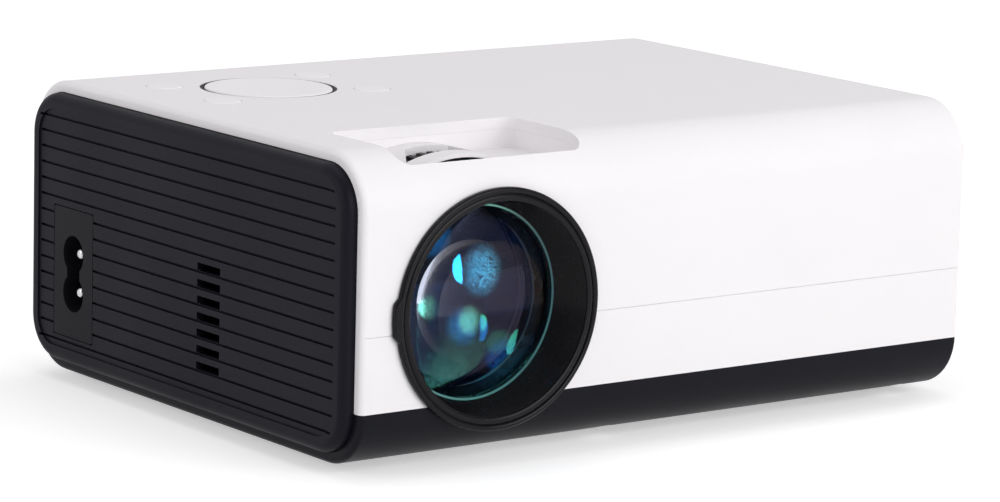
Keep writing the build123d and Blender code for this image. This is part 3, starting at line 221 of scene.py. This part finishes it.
def plastic(name, dark, light, roughness, grains, depth, gloss=0.5):
    """Moulded plastic: colour and roughness drift between two values with the cloud; the grain has a depth."""
    material, tree = new_material(name)
    grain = add(tree, "ShaderNodeGroup", {"node_tree": grain_group}, {"Grains per metre": grains})
    colour = add(tree, "ShaderNodeMix", {"data_type": "RGBA"}, {
        "Factor": grain.outputs["Cloud"], 6: (*dark, 1), 7: (*light, 1)})
    sheen = add(tree, "ShaderNodeMapRange", None, {
        "Value": grain.outputs["Cloud"], "From Min": 0.3, "From Max": 0.7,
        "To Min": roughness[0], "To Max": roughness[1]})
    relief = add(tree, "ShaderNodeBump", None, {
        "Strength": 1.0, "Distance": depth, "Height": grain.outputs["Height"]})
    shader = add(tree, "ShaderNodeBsdfPrincipled", None, {
        "Base Color": colour.outputs[2], "Roughness": sheen.outputs[0], "Normal": relief.outputs[0],
        "Specular IOR Level": gloss})
    add(tree, "ShaderNodeOutputMaterial", None, {"Surface": shader.outputs[0]})
    return material


black_shell = plastic("black_shell", (0.006, 0.006, 0.009), (0.008, 0.008, 0.012),
                      roughness=(0.34, 0.42), grains=7000.0, depth=3e-6, gloss=0.08)
dress(black_shell, "base_tray")


# Case shells: a low white band, a deep white upper shell and the tub of its finger recess, all in satin plastic.
# The band's skirt locates in the base, and the upper shell's posts take the case screws.
white_shell = plastic("white_shell", (0.80, 0.78, 0.794), (0.84, 0.82, 0.83),
                      roughness=(0.54, 0.62), grains=6500.0, depth=3e-6, gloss=0.3)
dress(white_shell, "lower_cover", "top_cover", "finger_tub")


# End panels: black ribbed caps pressed into the ends of the case, seated on its ribs.
# The left one has a short column of slots, the right one the fan's exhaust slots.
black_panel = plastic("black_panel", (0.006, 0.006, 0.010), (0.008, 0.008, 0.013),
                      roughness=(0.42, 0.52), grains=4200.0, depth=6e-6, gloss=0.08)
dress(black_panel, "left_panel", "right_panel")


# Mains inlet: a black moulded block that lies flush in the left panel, with two plated round contacts.
# The contacts are pressed through the block and soldered to their leads behind it.
black_moulding = plastic("black_moulding", (0.006, 0.006, 0.008), (0.008, 0.008, 0.011),
                         roughness=(0.5, 0.6), grains=4800.0, depth=5e-6, gloss=0.1)
dress(black_moulding, "ac_inlet")


def brushed(name, colour, roughness, depth):
    """Plated or drawn metal: short streaks along the part with a depth, and slow changes in polish."""
    material, tree = new_material(name)
    place = add(tree, "ShaderNodeTexCoord").outputs["Object"]
    drawn = add(tree, "ShaderNodeMapping", None, {"Vector": place, "Scale": (900.0, 6000.0, 6000.0)})
    streak = add(tree, "ShaderNodeTexNoise", None, {"Vector": drawn.outputs[0], "Scale": 1.0, "Detail": 3.0})
    cloud = add(tree, "ShaderNodeTexNoise", None, {"Vector": place, "Scale": 160.0, "Detail": 4.0})
    polish = add(tree, "ShaderNodeMapRange", None, {
        "Value": cloud.outputs[0], "From Min": 0.3, "From Max": 0.7,
        "To Min": roughness[0], "To Max": roughness[1]})
    relief = add(tree, "ShaderNodeBump", None, {"Distance": depth, "Height": streak.outputs[0]})
    tint = add(tree, "ShaderNodeMix", {"data_type": "RGBA"}, {
        "Factor": cloud.outputs[0], 6: (*[c * 0.92 for c in colour], 1), 7: (*colour, 1)})
    shader = add(tree, "ShaderNodeBsdfPrincipled", None, {
        "Base Color": tint.outputs[2], "Metallic": 1.0, "Roughness": polish.outputs[0],
        "Normal": relief.outputs[0]})
    add(tree, "ShaderNodeOutputMaterial", None, {"Surface": shader.outputs[0]})
    return material


steel = brushed("steel", (0.62, 0.62, 0.64), roughness=(0.18, 0.3), depth=1.5e-6)
dress(steel, "inlet_pins")


# Lens barrel: black anodised aluminium, turned, with a double bead on its rim and fine stray-light ridges inside.
# It slides in the guide behind the front, and a small lug stands out at the left of its rim.
lens_axis = np.array([-0.0469, 0.0326])
rim_depth = -0.064175
rim_radius, rim_back = 0.02505, 0.0011
outer_bead, inner_bead = 0.00062, 0.00072
front_seat, front_bore = 0.0092, 0.0209
stop_front, stop_back, stop_bore = 0.0152, 0.0167, 0.0164
barrel_back, rear_bore, tube_radius = 0.0300, 0.0176, 0.0228
barrel_sides = 240
lug_half_sides, lug_reach, lug_band = 6.6, 0.001, 4e-4


def bead(middle, half, top, foot, count=10):
    """Half round bead across the rim: radius = middle + half cos t, depth = foot - (foot - top) sin t."""
    t = np.linspace(0.0, np.pi, count)
    return np.stack([foot - (foot - top) * np.sin(t), middle + half * np.cos(t)], -1)


def ridged_taper(start, end, ridges, height):
    """Fine rings on a taper: the line from start to end, its radius less height |sin(pi ridges s)| at s along it."""
    s = np.linspace(0.0, 1.0, ridges * 6 + 1)[:, None]
    line = (1.0 - s) * np.array(start) + s * np.array(end)
    line[:, 1] -= height * np.abs(np.sin(np.pi * ridges * s[:, 0]))
    return line


def turned_grid(profile, sides):
    """Points turned about the lens axis: x = axis + r cos a, y = rim + depth, z = axis + r sin a."""
    a = np.linspace(0.0, 2.0 * np.pi, sides, endpoint=False)
    depth, radius = profile[:, :1], profile[:, 1:]
    x = lens_axis[0] + radius * np.cos(a)
    y = rim_depth + depth + 0.0 * a
    z = lens_axis[1] + radius * np.sin(a)
    return np.stack([x, y, z], -1)


def grid_faces(rows, columns, wrap_rows):
    """Four-cornered faces between neighbouring grid points; columns close round, and rows too in a loop."""
    i, j = np.meshgrid(np.arange(rows if wrap_rows else rows - 1), np.arange(columns), indexing="ij")
    up = (i + 1) % rows
    over = (j + 1) % columns
    here, above = i * columns, up * columns
    return np.stack([here + j, here + over, above + over, above + j], -1).reshape(-1, 4)


def piece(name, points, faces, material, body, stands_for, crease):
    """One finished piece: a mesh that faces outwards, smooth except over creases, riding on its body."""
    mesh = bpy.data.meshes.new(name)
    mesh.from_pydata(np.asarray(points).reshape(-1, 3).tolist(), [], faces)
    mesh.calc_loop_triangles()
    corners = np.empty(len(mesh.loop_triangles) * 3, dtype=np.int64)
    mesh.loop_triangles.foreach_get("vertices", corners)
    a, b, c = np.asarray(points).reshape(-1, 3)[corners.reshape(-1, 3)].transpose(1, 0, 2)
    if np.einsum("ij,ij->i", a, np.cross(b, c)).sum() < 0:
        mesh.flip_normals()
    mesh.shade_smooth()
    mesh.set_sharp_from_angle(angle=np.radians(crease))
    mesh.materials.append(material)
    made = bpy.data.objects.new(name, mesh)
    bpy.context.collection.objects.link(made)
    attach(made, body)
    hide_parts(*stands_for)
    return made


rim_profile = np.concatenate([
    bead(rim_radius - outer_bead, outer_bead, top=0.0, foot=0.00045),
    bead(rim_radius - 0.00210, inner_bead, top=0.00005, foot=0.0004),
    ridged_taper((0.0006, 0.02225), (front_seat, 0.0204), ridges=26, height=0.0001),
    [(front_seat, front_bore), (stop_front, front_bore), (stop_front, stop_bore), (stop_back, stop_bore)],
    [(stop_back, rear_bore), (barrel_back, rear_bore), (barrel_back, tube_radius), (rim_back, tube_radius)],
    [(rim_back, rim_radius)],
])


def turned_metal():
    """Lathe marks round the lens axis: height is a sine of the distance from the axis, broken by noise."""
    tree, taken, given = new_group("turned_metal", {
        "Lines per metre": 9000.0, "Axis": (0.0, 0.0, 0.0)}, ["Height", "Cloud"])
    place = add(tree, "ShaderNodeTexCoord").outputs["Object"]
    off = add(tree, "ShaderNodeVectorMath", {"operation": "SUBTRACT"}, {0: place, 1: taken.outputs["Axis"]})
    flat = add(tree, "ShaderNodeVectorMath", {"operation": "MULTIPLY"}, {0: off.outputs[0], 1: (1.0, 0.0, 1.0)})
    reach = add(tree, "ShaderNodeVectorMath", {"operation": "LENGTH"}, {0: flat.outputs[0]})
    turns = add(tree, "ShaderNodeMath", {"operation": "MULTIPLY"}, {
        0: reach.outputs["Value"], 1: taken.outputs["Lines per metre"]})
    wave = add(tree, "ShaderNodeMath", {"operation": "SINE"}, {0: turns.outputs[0]})
    cloud = add(tree, "ShaderNodeTexNoise", None, {"Vector": place, "Scale": 400.0, "Detail": 5.0})
    mark = add(tree, "ShaderNodeMath", {"operation": "MULTIPLY"}, {0: wave.outputs[0], 1: cloud.outputs[0]})
    tree.links.new(mark.outputs[0], given.inputs["Height"])
    tree.links.new(cloud.outputs[0], given.inputs["Cloud"])
    return tree


turned_group = turned_metal()
lens_black, lens_tree = new_material("lens_black")
lens_marks = add(lens_tree, "ShaderNodeGroup", {"node_tree": turned_group}, {
    "Axis": (lens_axis[0], 0.0, lens_axis[1])})
lens_colour = add(lens_tree, "ShaderNodeMix", {"data_type": "RGBA"}, {
    "Factor": lens_marks.outputs["Cloud"], 6: (0.003, 0.0025, 0.0035, 1), 7: (0.006, 0.005, 0.007, 1)})
lens_sheen = add(lens_tree, "ShaderNodeMapRange", None, {
    "Value": lens_marks.outputs["Cloud"], "To Min": 0.2, "To Max": 0.32})
lens_relief = add(lens_tree, "ShaderNodeBump", None, {"Distance": 1e-6, "Height": lens_marks.outputs["Height"]})
lens_shader = add(lens_tree, "ShaderNodeBsdfPrincipled", None, {
    "Base Color": lens_colour.outputs[2], "Roughness": lens_sheen.outputs[0], "Normal": lens_relief.outputs[0],
    "Specular IOR Level": 0.16})
add(lens_tree, "ShaderNodeOutputMaterial", None, {"Surface": lens_shader.outputs[0]})
barrel_points = turned_grid(rim_profile, barrel_sides)
spoke = np.arange(barrel_sides) - barrel_sides // 2
reach = np.clip(lug_half_sides - np.abs(spoke), 0.0, 1.0) * lug_reach
from_axis = np.hypot(barrel_points[..., 0] - lens_axis[0], barrel_points[..., 2] - lens_axis[1])
barrel_points[..., 0] -= np.where(from_axis > rim_radius - lug_band, reach, 0.0)
piece("barrel", barrel_points, grid_faces(len(rim_profile), barrel_sides, True).tolist(), lens_black,
      "lens", ["lens_barrel"], crease=24.0)
dress(lens_black, "lens_retainer", "lens_spacer", "rear_retainer")


# Lens glass: three ground and polished elements under thin coatings, their rims fine ground and inked black.
# Each drops into the barrel against a shoulder and is held by a threaded ring.
def cap(edge, pole, radius, count=40):
    """Spherical face in section: at angle t from the axis, radius = R sin t and depth = pole -+ (R - R cos t)."""
    sag = edge - pole
    ball = (radius ** 2 + sag ** 2) / (2.0 * abs(sag))
    t = np.linspace(0.0, np.arcsin(radius / ball), count)
    return np.stack([pole + np.sign(sag) * ball * (1.0 - np.cos(t)), ball * np.sin(t)], -1)


def glass(name, stands_for, coating, radius, edges, poles, lip):
    """A lens turned from pole to pole: front cap, lip, bevel, edge, bevel, lip and rear cap.

    The front lip and bevel are left ground; the edge, the rear bevel and the rear lip are inked."""
    bevel = 0.0003
    sides = 180
    front = cap(edges[0], poles[0], radius - lip)
    rear = cap(edges[1], poles[1], radius - lip)[::-1]
    rim = [(edges[0], radius - bevel), (edges[0] + bevel, radius)]
    rim += [(edges[1] - bevel, radius), (edges[1], radius - bevel)]
    profile = np.concatenate([front[1:], rim, rear[:-1]])
    ring = turned_grid(profile, sides).reshape(-1, 3)
    tips = turned_grid(np.array([front[0], rear[-1]]), 1).reshape(-1, 3)
    j = np.arange(sides)
    over = (j + 1) % sides
    last = len(ring) - sides
    first_fan = np.stack([over, j, np.full(sides, len(ring))], -1).tolist()
    last_fan = np.stack([last + j, last + over, np.full(sides, len(ring) + 1)], -1).tolist()
    faces = grid_faces(len(profile), sides, False).tolist() + first_fan + last_fan
    made = piece(name, np.concatenate([ring, tips]), faces, coating,
                 "lens", [stands_for], crease=20.0)
    made.data.materials.append(ground_edge)
    made.data.materials.append(edge_ink)
    lip_face = (len(front) - 2) * sides
    edge_face = lip_face + 2 * sides
    finish = np.zeros(len(made.data.polygons), dtype=np.int32)
    finish[lip_face:edge_face] = 1
    finish[edge_face:edge_face + 3 * sides] = 2
    made.data.polygons.foreach_set("material_index", finish)


def coated(name, film):
    """Clear glass under a thin film whose thickness in nanometres sets the colour of its reflection."""
    material, tree = new_material(name)
    place = add(tree, "ShaderNodeTexCoord").outputs["Object"]
    wipe = add(tree, "ShaderNodeTexNoise", None, {"Vector": place, "Scale": 90.0, "Detail": 5.0})
    haze = add(tree, "ShaderNodeMapRange", None, {
        "Value": wipe.outputs[0], "From Min": 0.35, "From Max": 0.75, "To Min": 0.0, "To Max": 0.02})
    shader = add(tree, "ShaderNodeBsdfPrincipled", None, {
        "Base Color": (0.54, 0.58, 0.70, 1), "Roughness": haze.outputs[0], "IOR": 1.62,
        "Transmission Weight": 1.0, "Thin Film Thickness": film, "Thin Film IOR": 1.38})
    add(tree, "ShaderNodeOutputMaterial", None, {"Surface": shader.outputs[0]})
    return material


ground_edge, edge_tree = new_material("ground_edge")
edge_place = add(edge_tree, "ShaderNodeTexCoord").outputs["Object"]
edge_scratch = add(edge_tree, "ShaderNodeTexNoise", None, {"Vector": edge_place, "Scale": 2500.0, "Detail": 3.0})
edge_relief = add(edge_tree, "ShaderNodeBump", None, {"Distance": 1e-5, "Height": edge_scratch.outputs[0]})
edge_shader = add(edge_tree, "ShaderNodeBsdfPrincipled", None, {
    "Base Color": (0.11, 0.06, 0.06, 1), "Roughness": 0.4, "Normal": edge_relief.outputs[0]})
add(edge_tree, "ShaderNodeOutputMaterial", None, {"Surface": edge_shader.outputs[0]})
edge_ink = plastic("edge_ink", (0.006, 0.006, 0.007), (0.009, 0.009, 0.010),
                   roughness=(0.6, 0.75), grains=9000.0, depth=2e-6, gloss=0.1)
coated_glass = coated("coated_glass", film=118.0)
teal_coating = coated("teal_coating", film=127.0)
glass("front_glass", "front_lens", coated_glass,
      radius=0.0208, edges=(0.0093, 0.0127), poles=(0.0057, 0.0159), lip=0.0009)
glass("middle_glass", "middle_lens", teal_coating,
      radius=0.0175, edges=(0.0168, 0.0196), poles=(0.0177, 0.0186), lip=0.0016)
glass("rear_glass", "rear_lens", teal_coating,
      radius=0.0175, edges=(0.0237, 0.0267), poles=(0.0213, 0.0293), lip=0.0017)


# Lamps of the glass: two small oval lamps with a flag over half of each, one behind crumpled foil, and a weak one.
# They stand close in front of the lens and light its glass alone, and the studio's soft boxes leave it out.
lamp_reach = 0.18


def shaped_lamp(name, spot, direction, size, strength, colour, flag=0, foil=0.0):
    """An oval lamp lamp_reach away from a spot on the glass, in a direction of azimuth and elevation in degrees.

    Its light falls off from the middle. A flag of -1 or 1 hides one half of it, and foil of 0 to 1 mottles it."""
    turn, climb = np.radians(direction)
    aim = Vector((np.sin(turn) * np.cos(climb), -np.cos(turn) * np.cos(climb), np.sin(climb)))
    lamp = bpy.data.lights.new(name, "AREA")
    lamp.shape = "ELLIPSE"
    lamp.size, lamp.size_y = size
    lamp.energy = strength * np.pi * size[0] * size[1]
    lamp.color = colour
    lamp.use_nodes = True
    tree = lamp.node_tree
    tree.nodes.clear()
    place = add(tree, "ShaderNodeNewGeometry").outputs["Parametric"]
    crumple = add(tree, "ShaderNodeTexNoise", {"noise_dimensions": "2D"}, {
        "Vector": place, "Scale": 14.0, "Detail": 6.0, "Roughness": 0.7, "Distortion": 1.5})
    mottle = add(tree, "ShaderNodeMapRange", None, {
        "Value": crumple.outputs[0], "From Min": 0.35, "From Max": 0.7,
        "To Min": 1.0 - foil, "To Max": 1.0 + foil})
    off_centre = add(tree, "ShaderNodeVectorMath", {"operation": "DISTANCE"}, {0: place, 1: (0.5, 0.5, 0.0)})
    fading = add(tree, "ShaderNodeMapRange", {"interpolation_type": "SMOOTHSTEP"}, {
        "Value": off_centre.outputs["Value"], "From Min": 0.5, "From Max": 0.5 - 0.45 * max(foil, 0.15)})
    shape = add(tree, "ShaderNodeMath", {"operation": "MULTIPLY"}, {0: mottle.outputs[0], 1: fading.outputs[0]})
    if flag:
        across = add(tree, "ShaderNodeSeparateXYZ", None, {0: place})
        edge = 0.03 * flag
        flagged = add(tree, "ShaderNodeMapRange", None, {
            "Value": across.outputs["X"], "From Min": 0.5 - edge, "From Max": 0.5 + edge})
        shape = add(tree, "ShaderNodeMath", {"operation": "MULTIPLY"}, {
            0: shape.outputs[0], 1: flagged.outputs[0]})
    glow = add(tree, "ShaderNodeEmission", None, {"Strength": shape.outputs[0]})
    add(tree, "ShaderNodeOutputLight", None, {"Surface": glow.outputs[0]})
    box = bpy.data.objects.new(name, lamp)
    box.location = Vector(spot) + lamp_reach * aim
    box.rotation_euler = aim.to_track_quat("Z", "Y").to_euler()
    box.visible_camera = False
    box.light_linking.receiver_collection = glass_group
    bpy.context.collection.objects.link(box)


glass_group = bpy.data.collections.new("glass_only")
room_group = bpy.data.collections.new("all_but_glass")
for name in ("front_glass", "middle_glass", "rear_glass"):
    glass_group.objects.link(bpy.data.objects[name])
    room_group.objects.link(bpy.data.objects[name])
for member in room_group.collection_objects:
    member.light_linking.link_state = "EXCLUDE"
for name in ("front_box", "left_box", "right_box", "top_box"):
    bpy.data.objects[name].light_linking.receiver_collection = room_group
shaped_lamp("low_lamp", (-0.0524, -0.0577, 0.0406), direction=(25.0, 3.0), size=(0.034, 0.042),
            strength=90.0, colour=(0.10, 1.0, 0.85), flag=-1)
shaped_lamp("high_lamp", (-0.0358, -0.0569, 0.0248), direction=(-17.0, 30.0), size=(0.055, 0.080),
            strength=100.0, colour=(0.08, 0.85, 1.0), flag=1)
shaped_lamp("foil_lamp", (-0.0484, -0.0580, 0.0397), direction=(35.0, 1.0), size=(0.085, 0.080),
            strength=26.0, colour=(0.22, 1.0, 0.72), foil=0.9)
shaped_lamp("fill_lamp", (-0.0384, -0.0573, 0.0249), direction=(4.0, 26.0), size=(0.090, 0.080),
            strength=7.0, colour=(0.10, 0.80, 0.90), foil=0.5)


# Lens mount: a moulded guide tube with a square plate, screwed to the light tunnel behind it.
# The focus ring turns on the tube behind a spring ring, and its helical grooves drive the barrel's steel pins.
focus_black = plastic("focus_black", (0.008, 0.008, 0.009), (0.014, 0.014, 0.016),
                      roughness=(0.4, 0.55), grains=5200.0, depth=6e-6, gloss=0.25)
dress(focus_black, "focus_ring")
dress(black_moulding, "lens_guide")
dress(steel, "retaining_ring", "focus_pins", "mount_screws")


# Light engine: a dark tunnel with a lamp and its heat sink at the back, and a display panel between two Fresnel
# sheets. A bright metal funnel and a domed condenser spread the lamp's light over the panel.
dress(black_moulding, "optics_box", "led_holder")

clear_sheet, sheet_tree = new_material("clear_sheet")
sheet_rings = add(sheet_tree, "ShaderNodeGroup", {"node_tree": turned_group}, {
    "Lines per metre": 12000.0, "Axis": (lens_axis[0], 0.0, lens_axis[1])})
sheet_relief = add(sheet_tree, "ShaderNodeBump", None, {
    "Distance": 2e-5, "Height": sheet_rings.outputs["Height"]})
sheet_haze = add(sheet_tree, "ShaderNodeMapRange", None, {
    "Value": sheet_rings.outputs["Cloud"], "To Min": 0.05, "To Max": 0.15})
sheet_shader = add(sheet_tree, "ShaderNodeBsdfPrincipled", None, {
    "Base Color": (0.93, 0.96, 0.96, 1), "Roughness": sheet_haze.outputs[0], "IOR": 1.49,
    "Transmission Weight": 0.9, "Normal": sheet_relief.outputs[0]})
add(sheet_tree, "ShaderNodeOutputMaterial", None, {"Surface": sheet_shader.outputs[0]})
dress(clear_sheet, "front_fresnel", "rear_fresnel")
dress(coated_glass, "condenser_lens")

display, display_tree = new_material("display")
display_place = add(display_tree, "ShaderNodeTexCoord").outputs["Object"]
display_turn = add(display_tree, "ShaderNodeMapping", None, {
    "Vector": display_place, "Rotation": (np.radians(90.0), 0.0, 0.0)})
display_dots = add(display_tree, "ShaderNodeTexBrick", {"offset": 0.0}, {
    "Vector": display_turn.outputs[0], "Color1": (0.06, 0.065, 0.08, 1), "Color2": (0.05, 0.055, 0.07, 1),
    "Mortar": (0.012, 0.012, 0.015, 1), "Scale": 2800.0, "Brick Width": 1.0, "Row Height": 1.0,
    "Mortar Size": 0.1})
display_shader = add(display_tree, "ShaderNodeBsdfPrincipled", None, {
    "Base Color": display_dots.outputs["Color"], "Roughness": 0.08, "Coat Weight": 0.5})
add(display_tree, "ShaderNodeOutputMaterial", None, {"Surface": display_shader.outputs[0]})
dress(display, "lcd_panel")

reflector_metal = brushed("reflector_metal", (0.88, 0.88, 0.89), roughness=(0.08, 0.16), depth=5e-7)
dress(reflector_metal, "reflector")
bare_aluminium = brushed("bare_aluminium", (0.74, 0.74, 0.75), roughness=(0.28, 0.42), depth=3e-6)
dress(bare_aluminium, "led_module", "heat_sink")


# Controls: a round white key with a dished top on a small gimbal, and four round white buttons.
# They press switches on a board under the roof; a black cup closes the gap round the key.
white_key = plastic("white_key", (0.80, 0.78, 0.794), (0.84, 0.82, 0.83),
                    roughness=(0.40, 0.48), grains=8000.0, depth=2e-6, gloss=0.35)
dress(white_key, "nav_disc", "menu_button", "power_button", "back_button", "source_button")
dress(black_moulding, "nav_bezel")
key_linkage = plastic("key_linkage", (0.74, 0.73, 0.68), (0.80, 0.79, 0.74),
                      roughness=(0.4, 0.5), grains=4000.0, depth=4e-6)
dress(key_linkage, "nav_carrier", "nav_rocker")


# Boards: green lacquered glass-fibre boards with their parts soldered on, held by steel pillars and screws.
# The rear sockets stand on the main board's back edge and look out through the lower shell.
def board_finish(name, top):
    """Board: green lacquer with copper tracks below the height top, black moulded parts above it."""
    material, tree = new_material(name)
    place = add(tree, "ShaderNodeTexCoord").outputs["Object"]
    height = add(tree, "ShaderNodeSeparateXYZ", None, {0: place})
    above = add(tree, "ShaderNodeMath", {"operation": "GREATER_THAN"}, {0: height.outputs["Z"], 1: top})
    tracks = add(tree, "ShaderNodeTexVoronoi", {"feature": "DISTANCE_TO_EDGE"}, {"Vector": place, "Scale": 420.0})
    copper = add(tree, "ShaderNodeMath", {"operation": "LESS_THAN"}, {0: tracks.outputs["Distance"], 1: 0.06})
    lacquer = add(tree, "ShaderNodeMix", {"data_type": "RGBA"}, {
        "Factor": copper.outputs[0], 6: (0.010, 0.085, 0.035, 1), 7: (0.025, 0.16, 0.06, 1)})
    colour = add(tree, "ShaderNodeMix", {"data_type": "RGBA"}, {
        "Factor": above.outputs[0], 6: lacquer.outputs[2], 7: (0.014, 0.014, 0.015, 1)})
    sheen = add(tree, "ShaderNodeMapRange", None, {"Value": above.outputs[0], "To Min": 0.22, "To Max": 0.5})
    relief = add(tree, "ShaderNodeBump", None, {"Distance": 3e-5, "Height": copper.outputs[0]})
    shader = add(tree, "ShaderNodeBsdfPrincipled", None, {
        "Base Color": colour.outputs[2], "Roughness": sheen.outputs[0], "Normal": relief.outputs[0]})
    add(tree, "ShaderNodeOutputMaterial", None, {"Surface": shader.outputs[0]})
    return material


dress(board_finish("main_lacquer", top=0.0159), "main_board")
dress(board_finish("supply_lacquer", top=0.0367), "power_board")
dress(board_finish("key_lacquer", top=0.0593), "key_board")
dress(steel, "board_spacers", "board_screws", "hdmi_port", "usb_port", "card_slot")
dress(black_moulding, "hdmi_tongue", "usb_tongue", "audio_jack", "remote_eye")


# Fan and speaker: a black axial fan blows out through the right panel, and an oblong speaker fires down.
# The fan is clipped between ribs of the base and the speaker is glued over the slots in it.
dress(black_moulding, "fan_frame", "fan_rotor", "speaker")


# Feet and fastenings: four rubber feet glued into shallow pockets, a tilt foot on a screw with a rubber sole,
# a brass tripod thread moulded into the base, and steel case screws in counterbores.
foot_rubber = plastic("foot_rubber", (0.016, 0.016, 0.017), (0.024, 0.024, 0.025),
                      roughness=(0.7, 0.85), grains=3000.0, depth=1e-5)
dress(foot_rubber, "rubber_feet", "tilt_sole")
tilt_plastic = plastic("tilt_plastic", (0.012, 0.012, 0.013), (0.018, 0.018, 0.020),
                       roughness=(0.42, 0.55), grains=4500.0, depth=5e-6)
dress(tilt_plastic, "tilt_foot_screw")
brass = brushed("brass", (0.80, 0.60, 0.28), roughness=(0.2, 0.34), depth=2e-6)
dress(brass, "tripod_insert")
dress(steel, "case_screws")
